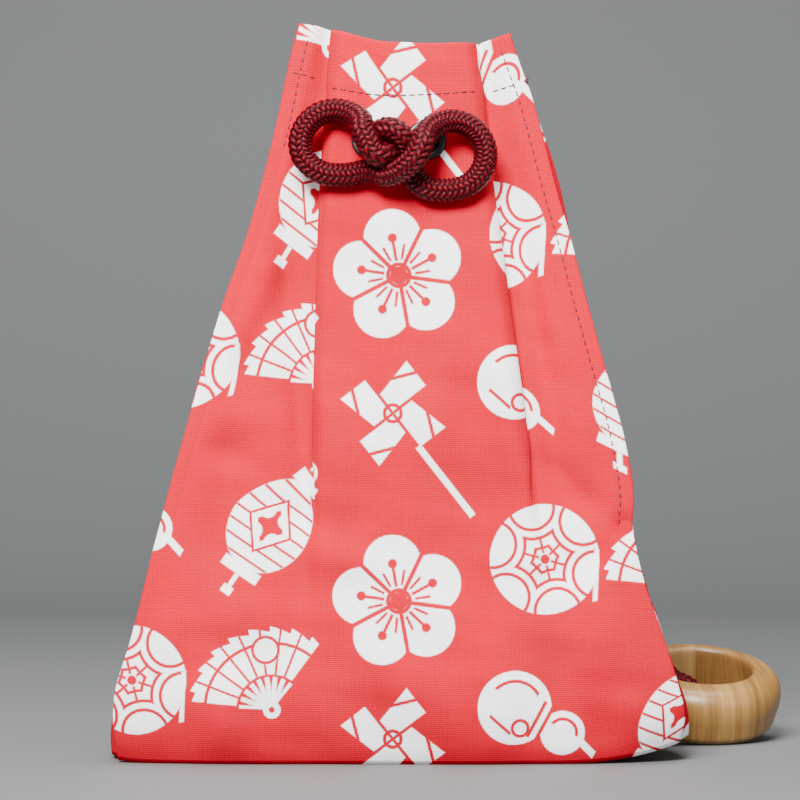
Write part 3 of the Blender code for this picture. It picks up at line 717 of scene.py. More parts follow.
# Height, and how far the wall stands from the pouch's middle plane
depth_table = np.array((
    (0.0000, 0.0302), (0.0060, 0.0340), (0.0120, 0.0363), (0.0200, 0.0379), (0.0300, 0.0386), (0.0446, 0.0379),
    (0.0735, 0.0359), (0.0945, 0.0338), (0.1155, 0.0317), (0.1444, 0.0285), (0.1680, 0.0258), (0.2048, 0.0220),
    (0.2258, 0.0198), (0.2441, 0.0182), (0.2625, 0.0168),
))
# How far across (-1 is the left edge, 1 the right one), and how far the mouth's edge stands up there
rise_table = np.array((
    (-1.0, 0.0104), (-0.75, 0.0088), (-0.56, 0.0066), (-0.19, 0.0030), (0.0, 0.0025), (0.45, 0.0024),
    (0.70, 0.0030), (1.0, 0.0068),
))


def through(table, column, at):
    """A smooth curve through one column of a table, whose first column is the place along it."""
    steps, values = table[:, 0], table[:, column]
    slopes = np.gradient(values, steps)
    at = np.clip(at, steps[0], steps[-1])
    i = np.clip(np.searchsorted(steps, at, side="right") - 1, 0, len(steps) - 2)
    span = steps[i + 1] - steps[i]
    t = (at - steps[i]) / span
    return (
        values[i] * (1 + 2 * t) * (1 - t) ** 2
        + values[i + 1] * t * t * (3 - 2 * t)
        + span * (slopes[i] * t * (1 - t) ** 2 - slopes[i + 1] * t * t * (1 - t))
    )


def smooth_between(value, start, end):
    share = np.clip((value - start) / (end - start), 0, 1)
    return share * share * (3 - 2 * share)


def mouth_rise(share, z):
    """How far the cloth stands up at a height, for the mouth's edge to rise to its corners."""
    return through(rise_table, 1, share) * (z / BODY_HEIGHT) ** 4


def edge_of(hand, z, wall=-1):
    """How far out the wall's edge lies on one side. The back's edge shows a little beyond the front's."""
    out = through(edge_table, 1 if hand < 0 else 2, z)
    if wall < 0:
        return out
    low, high = (0.100, 0.175) if hand < 0 else (0.180, 0.245)
    middle, half = (low + high) / 2, (high - low) / 2
    return out + BACK_SHOWS * np.exp(-(((z - middle) / half) ** 2))


def pleat_of(hand, z):
    """How far out the pleat's edge lies, and how far it is folded, from 0 near the base to 1."""
    return float(through(pleat_table, 1 if hand < 0 else 2, z)), float(smooth_between(z, 0.060, 0.150))


def ripples(x, z, seed, shortest, longest, count=9):
    """Soft random waves over the cloth, from -1 to 1 or so."""
    random = np.random.default_rng(seed)
    total = 0
    for _ in range(count):
        wave = random.uniform(shortest, longest)
        heading = random.uniform(0, math.pi)
        phase = random.uniform(0, 2 * math.pi)
        total = total + np.sin(2 * math.pi * (x * math.cos(heading) + z * math.sin(heading)) / wave + phase)
    return total / math.sqrt(count)


def crease(x, z, start, end, width, depth):
    """A soft valley (depth under 0) or ridge along a line on the cloth."""
    start, end = np.array(start), np.array(end)
    run = end - start
    length = np.linalg.norm(run)
    run = run / length
    along = (x - start[0]) * run[0] + (z - start[1]) * run[1]
    off = (z - start[1]) * run[0] - (x - start[0]) * run[1]
    begins = smooth_between(along, -0.35 * length, 0.25 * length)
    ends = begins * (1 - smooth_between(along, 0.75 * length, 1.35 * length))
    return depth * ends * np.exp(-((off / width) ** 2))


# Start and end on the wall, as seen from its own front, then width and depth
front_creases = (
    ((-0.078, 0.118), (-0.056, 0.112), 0.0060, -0.0010),
    ((-0.080, 0.108), (-0.054, 0.103), 0.0060, 0.0007),
    ((-0.042, 0.092), (-0.016, 0.084), 0.0070, -0.0011),
    ((-0.040, 0.080), (-0.010, 0.074), 0.0080, 0.0008),
    ((-0.044, 0.196), (-0.036, 0.120), 0.0045, -0.0014),
    ((-0.062, 0.160), (-0.040, 0.190), 0.0060, 0.0008),
    ((-0.066, 0.135), (-0.042, 0.170), 0.0065, -0.0007),
    ((-0.036, 0.140), (-0.035, 0.060), 0.0050, -0.0008),
    ((0.044, 0.200), (0.058, 0.110), 0.0050, -0.0014),
    ((0.062, 0.150), (0.050, 0.195), 0.0055, 0.0008),
    ((0.078, 0.088), (0.054, 0.110), 0.0055, -0.0011),
    ((0.080, 0.080), (0.050, 0.066), 0.0060, -0.0010),
    ((0.084, 0.098), (0.066, 0.130), 0.0060, 0.0008),
    ((0.050, 0.040), (0.092, 0.026), 0.0080, -0.0009),
    ((-0.094, 0.034), (-0.050, 0.042), 0.0090, -0.0009),
    ((-0.030, 0.030), (0.040, 0.026), 0.0110, 0.0010),
    ((0.020, 0.125), (0.044, 0.100), 0.0080, -0.0006),
)


def sag_of(wall, x, z, off_edge):
    """How far the soft wall stands out of its plain shape: broad swells, small dents and folds, and in
    front a dimple where the right seam ends."""
    seed = 11 if wall < 0 else 29
    seen_x = x * -wall
    loose = 1 - 0.75 * smooth_between(z, 0.19, 0.245)
    swell = 0.0015 * ripples(x, z, seed, 0.070, 0.130, 7) + 0.00070 * ripples(x, z, seed + 1, 0.024, 0.050)
    small = 0.00018 * ripples(x, z, seed + 2, 0.010, 0.020)
    folds = 1.8 * sum(crease(seen_x, z, *one) for one in front_creases)
    calm = smooth_between(off_edge, 0.004, 0.018)
    eyelet = np.minimum(np.hypot(x - EYELET_X, z - EYELET_HEIGHT), np.hypot(x + EYELET_X, z - EYELET_HEIGHT))
    flat = smooth_between(eyelet, 0.008, 0.016)
    dimple = -0.0022 * np.exp(-((seen_x - 0.0825) ** 2 + (z - 0.0865) ** 2) / 0.0045**2) if wall < 0 else 0
    foot = smooth_between(z, 0, 0.012)
    return (swell * loose + folds + small) * calm * flat * (0.35 + 0.65 * foot) + dimple


def foot_lift(x, y, z):
    """The right front corner stands a little off the floor, and the left one is rounded."""
    right = RIGHT_LIFT * np.clip((x - 0.058) / 0.047, 0, 1.2) ** 2.2
    left = LEFT_LIFT * np.clip((-x - 0.090) / 0.014, 0, 1.2) ** 2
    front = 1 - smooth_between(y, -0.020, 0.020)
    return (right * (0.85 + 0.15 * front) + left) * (1 - smooth_between(z, 0, LIFT_TOP))


def plain_depth(hand_x, z, half):
    across = np.clip(np.abs(hand_x) / half, 0, 1)
    lower = 1 - smooth_between(z, 0, SEAM_END)
    return through(depth_table, 1, z) - WALL_CROWN * across**2 - CORNER_PULL * lower * across**6


def soft_form(x, z, pleat, edge):
    """The side panels sink in beside the pleat, and the middle panel is full below the eyelets."""
    share = smooth_between(z, 0.050, 0.130)
    beyond = np.clip((x - pleat) / np.maximum(edge - SEAM_FLANGE - pleat, 1e-6), 0, 1)
    sink = smooth_between(x, pleat - 0.0040, pleat + 0.0015) * (1 - smooth_between(beyond, 0.10, 0.95))
    full = smooth_between(z, 0.070, 0.120) * (1 - smooth_between(z, 0.165, 0.208))
    inside = np.clip(1 - (x / pleat) ** 2, 0, 1)
    return MIDDLE_PUFF * full * inside - SIDE_SINK * share * sink


def pleat_fold(reach_x, rise, share):
    """The pleat's fold at one height, from the middle panel outwards: (x, depth) from its edge and back."""
    radius = rise / 4
    back = 2 * radius + FOLD_BACK * share
    turn = np.linspace(math.pi / 2, -math.pi / 2, 11)
    first = np.stack([reach_x - radius + radius * np.cos(turn), rise - radius + radius * np.sin(turn)], axis=1)
    turn = np.linspace(math.pi / 2, 3 * math.pi / 2, 11)
    second = np.stack([reach_x - back + radius + radius * np.cos(turn), radius + radius * np.sin(turn)], axis=1)
    lead = np.linspace(0, 1, 8)[1:, None]
    out = second[-1] + (np.array((reach_x + 0.004, 0)) - second[-1]) * lead
    middle = first[-1] + (second[0] - first[-1]) * np.array((0.25, 0.5, 0.75))[:, None]
    folded = np.vstack([first, middle, second, out])
    step = np.linspace(0, 1, len(folded))
    soft = np.stack([reach_x - 0.006 + 0.010 * step, rise * (1 - step * step * (3 - 2 * step))], axis=1)
    part = smooth_between(share, 0.05, 0.75)
    return soft * (1 - part) + folded * part


# Places beside a wall's edge, and which of them is the seam's stitching
flange_offsets = np.array((0.0, 0.00035, 0.0009, 0.0020, 0.0032, 0.0041, 0.0046, 0.0050, 0.0054, 0.0059, 0.0068))
STITCH_OFFSET_INDEX = 7


def half_section(hand, z, wall):
    """One half of the wall at one height, from the middle to the edge: x, depth out of the plain wall."""
    pleat, share = pleat_of(hand, z)
    rise = PLEAT_RAISE * share + 0.0010 * float(smooth_between(z, 0.222, 0.246))
    edge = float(edge_of(hand, z, wall))
    fold = pleat_fold(pleat, rise, share)
    middle_x = fold[0, 0] * np.linspace(0, 1, 26)[:-1]
    middle = np.stack([middle_x, np.full(25, rise)], axis=1)
    start, stop = fold[-1, 0], edge - flange_offsets[-1]
    between = np.linspace(start, stop, 26)[1:-1]
    outer = np.concatenate([between, edge - flange_offsets[::-1]])
    side = np.stack([outer, np.zeros(len(outer))], axis=1)
    return np.vstack([middle, fold, side]), pleat, edge


top_rows = BODY_HEIGHT - np.array((0.0016, 0.0010, 0.0005, 0.00015, 0.0))
wall_rows = np.concatenate([np.linspace(0.0003, BODY_HEIGHT - 0.0024, 150), top_rows])


def cloth_grid(wall, rows):
    """The middle of the cloth: its points, its flat places, and how far each point is from the edge."""
    points, flat, from_edge = [], [], []
    for z in rows:
        halves = []
        for hand in (-1, 1):
            section, pleat, edge = half_section(hand, z, wall)
            lengths = travel(section)
            x = section[:, 0] * hand
            depth = plain_depth(x, z, edge) + section[:, 1] - CLOTH / 2
            depth = depth + sag_of(wall, x, z, edge - section[:, 0])
            depth = depth + soft_form(section[:, 0], z, pleat, edge)
            lifted = z + mouth_rise(x / edge, z) + foot_lift(x, wall * depth, z)
            halves.append(np.stack([x, wall * depth, lifted, lengths * hand, edge - section[:, 0]], axis=1))
        row = np.vstack([halves[0][::-1], halves[1][1:]])
        points.append(row[:, :3])
        flat.append(np.stack([row[:, 3] * -wall, np.full(len(row), z), np.zeros(len(row))], axis=1))
        from_edge.append(row[:, 4])
    return np.array(points), np.array(flat), np.array(from_edge)


def grid_normals(points):
    return unit(np.cross(np.gradient(points, axis=1), np.gradient(points, axis=0)))


def add_cloth(name, points, flat, thickness, material, outward, punched=()):
    """A cloth from its middle surface: two faces and closed edges, with a hole round each punched place."""
    rows, columns = points.shape[:2]
    normals = grid_normals(points) * outward
    half = normals * (thickness / 2)[..., None]
    both = np.concatenate([(points + half).reshape(-1, 3), (points - half).reshape(-1, 3)])
    size = rows * columns
    index = np.arange(size).reshape(rows, columns)
    quads = quads_between(index)
    centres = points.reshape(-1, 3)[quads].mean(axis=1)
    for place in punched:
        apart = np.linalg.norm(centres - place, axis=1)
        quads, centres = quads[apart > HOLE_RADIUS], centres[apart > HOLE_RADIUS]
    edges = np.stack([quads, np.roll(quads, -1, axis=1)], axis=2).reshape(-1, 2)
    once = ~np.isin(edges[:, 0] * size + edges[:, 1], edges[:, 1] * size + edges[:, 0])
    rim, after = edges[once].T
    sides = np.stack([after, rim, rim + size, after + size], axis=1)
    faces = np.concatenate([quads, quads[:, ::-1] + size, sides])
    if outward < 0:
        faces = faces[:, ::-1]
    obj = new_mesh(name, both, faces, material)
    place = flat.reshape(-1, 3)
    paint(obj, "cloth", np.concatenate([place, place]))
    return obj


def wall_thickness(flat, from_edge):
    """The cloth's thickness: doubled in the hem, and rounded off at the mouth and along the edges."""
    height = flat[..., 1]
    full = CLOTH + (HEM_CLOTH - CLOTH) * smooth_between(height, HEM_HEIGHT - 0.001, HEM_HEIGHT + 0.001)
    crest = np.clip((BODY_HEIGHT - height) / 0.0010, 0, 1)
    brim = np.clip(from_edge / 0.0009, 0, 1)
    return full * (0.12 + 0.88 * np.sqrt(1 - (1 - crest) ** 2)) * (0.2 + 0.8 * np.sqrt(1 - (1 - brim) ** 2))


# Heights of the hem's stitching, by how far across the wall it is. The seam's runs down beside the edge.
hem_line = np.array((
    (-1.0, 0.2470), (-0.62, 0.2450), (-0.60, 0.2430), (0.0, 0.2432), (0.60, 0.2447), (1.0, 0.2455),
))


def hem_height(x):
    return np.interp(x / MOUTH_HALF, hem_line[:, 0], hem_line[:, 1])


walls = {}
for wall, which in ((-1, "front"), (1, "back")):
    points, flat, from_edge = cloth_grid(wall, wall_rows)
    groove = 0.00022 * np.exp(-(((from_edge - SEAM_FLANGE) / 0.0007) ** 2))
    groove = groove * smooth_between(flat[..., 1], SEAM_END, SEAM_END + 0.006)
    groove = groove + 0.00026 * np.exp(-(((flat[..., 1] - hem_height(points[..., 0])) / 0.0009) ** 2))
    points[..., 1] -= wall * groove
    holes = [middle_of(f"{which}_eyelet_{hand}") for hand in ("left", "right")]
    panel = add_cloth(f"{which}_cloth", points, flat, wall_thickness(flat, from_edge), PRINTED_COTTON, wall, holes)
    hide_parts(f"{which}_panel", f"{which}_mouth_facing")
    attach(panel, "front_wall" if wall < 0 else "root")
    walls[wall] = (points, flat, from_edge)

# ---- Gussets ----
# The two sides are pieces of the same cotton, folded inwards down their middle, so that the pouch
# closes flat. Their edges are sewn to the front and back in a narrow flat seam.
# Height, how far out the gusset's middle fold lies, and how far out the leaves' roots lie
gusset_table = np.array((
    (0.0000, 0.1068, 0.0960), (0.0079, 0.1074, 0.0980), (0.0236, 0.1042, 0.0980), (0.0446, 0.0985, 0.0925),
    (0.0735, 0.0880, 0.0845), (0.0945, 0.0814, 0.0807), (0.1155, 0.0693, 0.0765), (0.1444, 0.0525, 0.0677),
    (0.1680, 0.0378, 0.0601), (0.2048, 0.0210, 0.0491), (0.2258, 0.0140, 0.0425), (0.2441, 0.0126, 0.0377),
    (0.2625, 0.0120, 0.0330),
))
GUSSET_BACK = 0.0025  # how far the leaves' roots lie behind the wall's face
SEAM_PRESS = 0.0010  # how far the seam presses them closer to it
FOLD_STAND = 0.0011
leaf_shares = np.concatenate([np.linspace(0, 0.46, 26), np.linspace(0.47, 0.53, 7), np.linspace(0.54, 1, 26)])


def gusset_grid(hand, rows, inset=0.0, flanges=True):
    """The gusset's middle surface from its front edge to its back edge."""
    points, flat, brims = [], [], []
    for z in rows:
        edges = {wall: float(edge_of(hand, z, wall)) for wall in (-1, 1)}
        fold_x, plain_seam = (float(through(gusset_table, column, z)) for column in (1, 2))
        folded = float(smooth_between(z, SEAM_END, BODY_HEIGHT * 0.7))
        off = np.abs(2 * leaf_shares - 1)
        shape = (1 - off) * folded + (1 - off**3) * (1 - folded)
        crest = np.exp(-((off / 0.05) ** 2)) * folded
        near = np.exp(-(((1 - off) / 0.24) ** 2))
        wall_sign = np.where(leaf_shares < 0.5, -1, 1)
        shift = np.where(wall_sign < 0, edges[-1], edges[1]) - SEAM_FLANGE - plain_seam
        x = plain_seam + (fold_x - plain_seam) * shape + shift * near * (1 - shape) + FOLD_STAND * crest
        seam_y = float(plain_depth(plain_seam, z, plain_seam + SEAM_FLANGE)) - GUSSET_BACK - CLOTH / 2
        y = -seam_y * (1 - 2 * leaf_shares)
        wave = 0.0010 * ripples(y + 0.3, z, 41 if hand < 0 else 43, 0.045, 0.110, 7)
        wave = wave + 0.00030 * ripples(y * 1.5, z, 47, 0.016, 0.034)
        free = smooth_between(1 - off, 0.03, 0.30) * (1 - 0.8 * smooth_between(z, 0.17, 0.215))
        x = x + wave * free - inset
        line_x, line_y = x, y
        if flanges:
            ends = []
            for wall in (-1, 1):
                outer = edges[wall] - flange_offsets[:8]
                depth = plain_depth(outer, z, edges[wall]) - GUSSET_BACK + SEAM_PRESS - CLOTH / 2
                ends.append((outer, wall * depth))
            line_x = np.concatenate([ends[0][0], x[1:-1], ends[1][0][::-1]])
            line_y = np.concatenate([ends[0][1], y[1:-1], ends[1][1][::-1]])
        brim = np.minimum(np.arange(len(line_x)), np.arange(len(line_x))[::-1]) * 0.0004
        lengths = np.concatenate([[0], np.cumsum(np.hypot(np.diff(line_x), np.diff(line_y)))])
        share = line_x * hand / np.where(line_y < 0, edges[-1], edges[1])
        height = z + mouth_rise(share, z) * 0.9 + foot_lift(line_x * hand, line_y, z)
        points.append(np.stack([line_x * hand, line_y, height], axis=1))
        place = lengths + 0.31 * (hand + 2)
        flat.append(np.stack([place, np.full(len(lengths), z), np.zeros(len(lengths))], axis=1))
        brims.append(brim)
    return np.array(points), np.array(flat), np.array(brims)


for hand, which in ((-1, "left"), (1, "right")):
    points, flat, brims = gusset_grid(hand, wall_rows)
    holes = [middle_of(f"gusset_eyelet_{which}_{leaf}") for leaf in ("front", "back")]
    thick = wall_thickness(flat, brims)
    gusset = add_cloth(f"{which}_side_cloth", points, flat, thick, PRINTED_COTTON, hand, holes)
    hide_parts(f"{which}_gusset")
    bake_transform(gusset)

# ---- Lining and base ----
# A plain deep red cotton lining hangs inside the walls from under the hem. The base is a piece of card
# between the lining and a panel of the printed cotton.
LINING = 0.0005
LINING_BACK = 0.0022  # how far it lies behind the wall's face
LINING_SHORT = 0.0085  # how far it ends before the wall's edge
CARD_THICK = 0.0018
BASE_HALF = 0.0958
BASE_HALF_MIDDLE = 0.1066
LINING_COTTON, tree, shader = new_material("lining_cotton")
cloth_place = read_attribute(tree, "cloth")
weave = place_group(tree, WEAVE, Cloth_Place=cloth_place, Pitch=0.00042)
height = Reading(tree, weave.outputs["Height"])
fading = noise_at(tree, cloth_place, 20.0, 3.0)
# Low places of the weave are painted darker, as painted shade in its gaps, under a random fading.
tone = (height + (fading - 0.5) * 0.4).clamped()
red = mixed(tree, tone, (0.26, 0.008, 0.014), (0.56, 0.026, 0.040))
tree.links.new(red, shader.inputs["Base Color"])
(height * 0.1 + 0.82).goes_to(shader.inputs["Roughness"])
tree.links.new(bump_from(tree, height, 0.00008), shader.inputs["Normal"])

lining_rows = np.linspace(0.0045, HEM_HEIGHT - 0.0006, 90)
for wall, which in ((-1, "front"), (1, "back")):
    points, flat = [], []
    for z in lining_rows:
        rows = []
        for hand in (-1, 1):
            edge = float(edge_of(hand, z))
            pleat, share = pleat_of(hand, z)
            step = pleat - FOLD_BACK * share - 0.004
            x = np.linspace(0, edge - LINING_SHORT, 46)
            raised = PLEAT_RAISE * share * (1 - smooth_between(x, step - 0.003, step))
            depth = plain_depth(x, z, edge) + raised - LINING_BACK + 0.7 * sag_of(wall, x * hand, z, edge - x)
            depth = depth + soft_form(x, z, pleat, edge)
            rows.append(np.stack([x * hand, wall * depth, np.full(46, z)], axis=1))
        row = np.vstack([rows[0][::-1], rows[1][1:]])
        points.append(row)
        flat.append(row * (1, 0, 0) + (0, z, 0))
    points, flat = np.array(points), np.array(flat)
    across, out, up = np.moveaxis(points, 2, 0)
    points[..., 2] += mouth_rise(across / MOUTH_HALF, up) * 0.9 + foot_lift(across, out, up)
    thick = np.full(points.shape[:2], LINING)
    holes = [middle_of(f"{which}_eyelet_{hand}") for hand in ("left", "right")]
    lining = add_cloth(f"{which}_lining", points, flat, thick, LINING_COTTON, -wall, holes)
    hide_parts(f"lining_{which}")
    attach(lining, "front_wall" if wall < 0 else "root")

for hand, which in ((-1, "left"), (1, "right")):
    points, flat, _ = gusset_grid(hand, np.linspace(0.0018, BODY_HEIGHT - 0.0016, 96), inset=0.0016, flanges=False)
    points, flat = points[:, 3:-3], flat[:, 3:-3]
    thick = np.full(points.shape[:2], LINING)
    holes = [middle_of(f"gusset_eyelet_{which}_{leaf}") for leaf in ("front", "back")]
    lining = add_cloth(f"{which}_lining", points, flat, thick, LINING_COTTON, hand, holes)
    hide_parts(f"lining_{which}")
    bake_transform(lining)


def base_grid(inset, low, cornered):
    """A level sheet inside the walls' feet, as a grid that is squeezed to their outline."""
    rows = []
    for down in np.linspace(-1, 1, 34):
        row = []
        for across in np.linspace(-1, 1, 70):
            bulge = (BASE_HALF_MIDDLE - BASE_HALF) * (1 - abs(down) ** 3)
            x = across * (BASE_HALF + bulge - inset)
            half = float(plain_depth(x, 2.2 * low, BASE_HALF + SEAM_FLANGE)) - 0.0013 - inset
            y = down * (half * (1 - cornered * abs(across) ** 8))
            row.append((x, y, low + float(foot_lift(x, y, 0.0)) * (1 - cornered)))
        rows.append(row)
    return np.array(rows)


CARD, tree, shader = new_material("card")
pulp = noise_at(tree, object_place(tree), 900.0, 4.0)
tree.links.new(mixed(tree, pulp, (0.36, 0.28, 0.19), (0.52, 0.43, 0.31)), shader.inputs["Base Color"])
shader.inputs["Roughness"].default_value = 0.9

for name, node, slot, material, thick, outward, shape, flat, held in (
    ("under_cloth", "base_cloth", "printed_cotton", PRINTED_COTTON, CLOTH, -1, (0.0006, 0.0005, 0.0),
     (0.214, 0.064), "stretched"),
    ("card_base", "base_board", "card", CARD, CARD_THICK, -1, (0.0045, 0.0022, 0.28), None, None),
    ("base_lining", "lining_base", "lining_cotton", LINING_COTTON, LINING, 1, (0.0040, 0.0037, 0.2),
     (0.206, 0.062), "laid"),
):
    points = base_grid(*shape)
    base = add_cloth(name, points, points * (1, 1, 0), np.full(points.shape[:2], thick), material, outward)
    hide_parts(node)
    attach(base, "root")

# ---- Eyelets ----
# Black lacquered brass eyelets, 15 mm across the flange and 10 mm in the bore, rolled over a washer on
# the inside. Two hold the cord in each wall, and one in each leaf of the gussets.
EYELET_BORE = 0.0050
EYELET_FLANGE = 0.0075
BLACK_LACQUER, tree, shader = new_material("black_lacquered_brass")
place = object_place(tree)
scuffs = noise_at(tree, place, 1400.0, 4.0)
dust = noise_at(tree, place, 260.0, 3.0)
tree.links.new(mixed(tree, dust, (0.010, 0.012, 0.011), (0.026, 0.030, 0.028)), shader.inputs["Base Color"])
shader.inputs["Metallic"].default_value = 0.35
(scuffs * 0.22 + 0.24).goes_to(shader.inputs["Roughness"])
tree.links.new(bump_from(tree, scuffs, 0.00003, 0.6), shader.inputs["Normal"])


def add_turned(name, profile, steps, middle, axis, material):
    """A ring turned about its axis from a closed profile of (radius, height)."""
    axis = unit(np.asarray(axis, float))
    side = unit(np.cross(axis, (0.13, 0.97, 0.21)))
    other = np.cross(axis, side)
    profile = np.asarray(profile, float)
    angle = np.linspace(0, 2 * math.pi, steps, endpoint=False)[:, None]
    points = (
        np.asarray(middle)
        + (side * np.cos(angle)[..., None] + other * np.sin(angle)[..., None]) * profile[None, :, :1]
        + axis * profile[None, :, 1:]
    )
    index = np.pad(np.arange(steps * len(profile)).reshape(steps, -1), (0, 1), mode="wrap")
    obj = new_mesh(name, points, quads_between(index)[:, [0, 3, 2, 1]], material)
    close_up(obj)
    return obj


def node_axis(node, outward):
    """The middle of a round thin solid of the frame, and its axis on the side of outward."""
    places = np.array([v.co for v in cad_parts[node].data.vertices])
    middle = middle_of(node)
    _, _, directions = np.linalg.svd(places - places.mean(axis=0))
    axis = directions[2]
    if axis.dot(outward) < 0:
        axis = -axis
    along = (places - middle) @ axis
    return middle, axis, float(along.min()), float(along.max())


eyelet_places = [
    (f"{which}_{{}}_{hand}", body, (0, side, 0))
    for which, body, side in (("front", "front_wall", -1), ("back", "root", 1))
    for hand in ("left", "right")
] + [
    (f"gusset_{{}}_{hand}_{which}", None, (side, 0, 0))
    for hand, side in (("left", -1), ("right", 1))
    for which in ("front", "back")
]
roll = np.linspace(0, math.pi, 9)
flange_middle = (EYELET_BORE + EYELET_FLANGE) / 2
flange_half = (EYELET_FLANGE - EYELET_BORE) / 2
for label, body, outward in eyelet_places:
    middle, axis, low, high = node_axis(label.format("eyelet"), outward)
    top = [(flange_middle - flange_half * math.cos(a), high - 0.0009 + 0.0010 * math.sin(a)) for a in roll]
    lower_roll = [
        (EYELET_BORE + 0.0011 + 0.0011 * math.cos(a + math.pi), low + 0.0002 - 0.0006 * math.sin(a)) for a in roll
    ]
    profile = top + [(EYELET_FLANGE - 0.0003, high - 0.0011), (EYELET_BORE + 0.0006, high - 0.0011)]
    profile += [(EYELET_BORE + 0.0006, low + 0.0004)] + lower_roll[::-1][:-1] + [(EYELET_BORE, low + 0.0002)]
    eyelet = add_turned(label.format("rolled_eyelet"), profile, 48, middle, axis, BLACK_LACQUER)
    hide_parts(label.format("eyelet"))
    middle, axis, low, high = node_axis(label.format("washer"), outward)
    washer = add_turned(
        label.format("backing_washer"),
        [
            (EYELET_BORE + 0.0010, low + 0.0001), (EYELET_BORE + 0.0010, high), (EYELET_FLANGE - 0.0002, high),
            (EYELET_FLANGE, high - 0.0002), (EYELET_FLANGE, low + 0.0002), (EYELET_FLANGE - 0.0002, low),
            (EYELET_BORE + 0.0012, low),
        ],
        48, middle, axis, BLACK_LACQUER,
    )
    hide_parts(label.format("washer"))
    for piece in (eyelet, washer):
        if body:
            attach(piece, body)
        else:
            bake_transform(piece)

# ---- Wooden ring ----
# A thick ring turned from light straight-grained wood, oiled to a soft gloss, with a plain round bore.
# Its growth layers stand nearly upright, so the grain runs down its side and across its top.
RING_RADIUS = 0.0320
RING_BORE = 0.0200
RING_HEIGHT = 0.0235
TURNED_WOOD, tree, shader = new_material("turned_wood")
ring_place = read_attribute(tree, "grain")
gx, gy, gz = axes_of(tree, ring_place)
bend = noise_at(tree, ring_place, 22.0, 3.0) - 0.5
layers = (gx + gy * 0.22 + gz * 0.10) * 1000.0 + bend * 5.5
bands = noise_at(tree, vector_of(tree, layers * 0.30, gy * 14.0, gz * 10.0), 1.0, 2.0)
fine = noise_at(tree, vector_of(tree, layers * 1.9, gy * 60.0, gz * 45.0), 1.0, 4.0, 0.6)
pores = noise_at(tree, vector_of(tree, layers * 5.0, gy * 190.0, gz * 150.0), 1.0, 2.0)
bore = Reading(tree, read_attribute(tree, "bore", "Fac"))
grain = bands * 0.54 + fine * 0.45
wood = colour_steps(
    tree, grain, (0.28, (0.110, 0.044, 0.008)), (0.44, (0.188, 0.088, 0.019)), (0.56, (0.245, 0.130, 0.033)),
    (0.72, (0.325, 0.198, 0.066)),
)
streak = (fine * 1.2 + bands * 0.8 - 0.50).clamped()
# Inside the bore the colour goes from near the wood's own tone on the left to a darker one on the right: painted
# shade on the bore's right side, over the grain's streaks.
inner_painted_shade = mixed(tree, streak, (0.075, 0.026, 0.006), (0.190, 0.090, 0.026))
light_inner = mixed(tree, streak, (0.190, 0.098, 0.030), (0.320, 0.198, 0.080))
painted_lit_side = (gx * -400.0 + 0.6 + bend * 2.0).clamped()
inner = mixed(tree, painted_lit_side, inner_painted_shade, light_inner)
tree.links.new(mixed(tree, bore * 0.8, wood, inner), shader.inputs["Base Color"])
(pores * 0.18 + 0.30).goes_to(shader.inputs["Roughness"])
shader.inputs["Coat Weight"].default_value = 0.04
shader.inputs["Coat Roughness"].default_value = 0.22
tree.links.new(bump_from(tree, fine * 0.4 + pores * 0.6, 0.00005, 0.5), shader.inputs["Normal"])

lean, tip = math.radians(15.5), math.radians(3.0)
ring_axis = np.array((math.sin(tip) * math.cos(lean), -math.sin(lean), math.cos(tip) * math.cos(lean)))
foot_radius = 0.0060
foot_centre = RING_RADIUS * 0.77
ring_drop = foot_centre * math.sin(math.acos(ring_axis[2])) + foot_radius
ring_foot = np.array((0.1187, 0.0625, ring_drop - foot_radius * ring_axis[2]))
outer_places = [
    (RING_BORE + 0.0016, RING_HEIGHT), (RING_RADIUS * 0.72, RING_HEIGHT + 0.0001),
    (RING_RADIUS * 0.80, RING_HEIGHT - 0.0004),
]
side_shares = ((0.88, 0.945), (0.945, 0.86), (0.985, 0.75), (1, 0.62), (0.995, 0.48), (0.972, 0.33))
outer_places += [(RING_RADIUS * out, RING_HEIGHT * up) for out, up in side_shares]
foot_turn = np.linspace(0.45, math.pi / 2, 6)
outer_places += [(foot_centre + foot_radius * math.cos(a), foot_radius * (1 - math.sin(a))) for a in foot_turn]
outer_places += [(RING_BORE + 0.0013, 0.0), (RING_BORE + 0.0004, 0.0004), (RING_BORE, 0.0013)]
outer_path = smooth_path([(r, 0, h) for r, h in outer_places], 0.0008)
bore_steps = np.linspace(0.0013, RING_HEIGHT - 0.0014, 12)[1:]
profile = [(r, h) for r, _, h in outer_path] + [(RING_BORE, h) for h in bore_steps]
profile += [(RING_BORE + 0.0004, RING_HEIGHT - 0.0004)]
ring = add_turned("turned_ring", profile, 144, ring_foot, ring_axis, TURNED_WOOD)
places = np.array([v.co for v in ring.data.vertices])
offset = places - ring_foot
height = offset @ ring_axis
out = np.linalg.norm(offset - height[:, None] * ring_axis, axis=1)
paint(ring, "bore", 1 - smooth_between(out, RING_BORE + 0.0002, RING_BORE + 0.0014))
paint(ring, "grain", offset)
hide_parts("wooden_ring")
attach(ring, "ring")

# ---- Stitching ----
# A dark pink thread holds the hem, and runs down beside the edges where the walls are sewn to the gussets.
STITCH_LENGTH = 0.0026
STITCH_GAP = 0.0006
STITCH_ARCH = 0.00010
THREAD_RADIUS = 0.00026
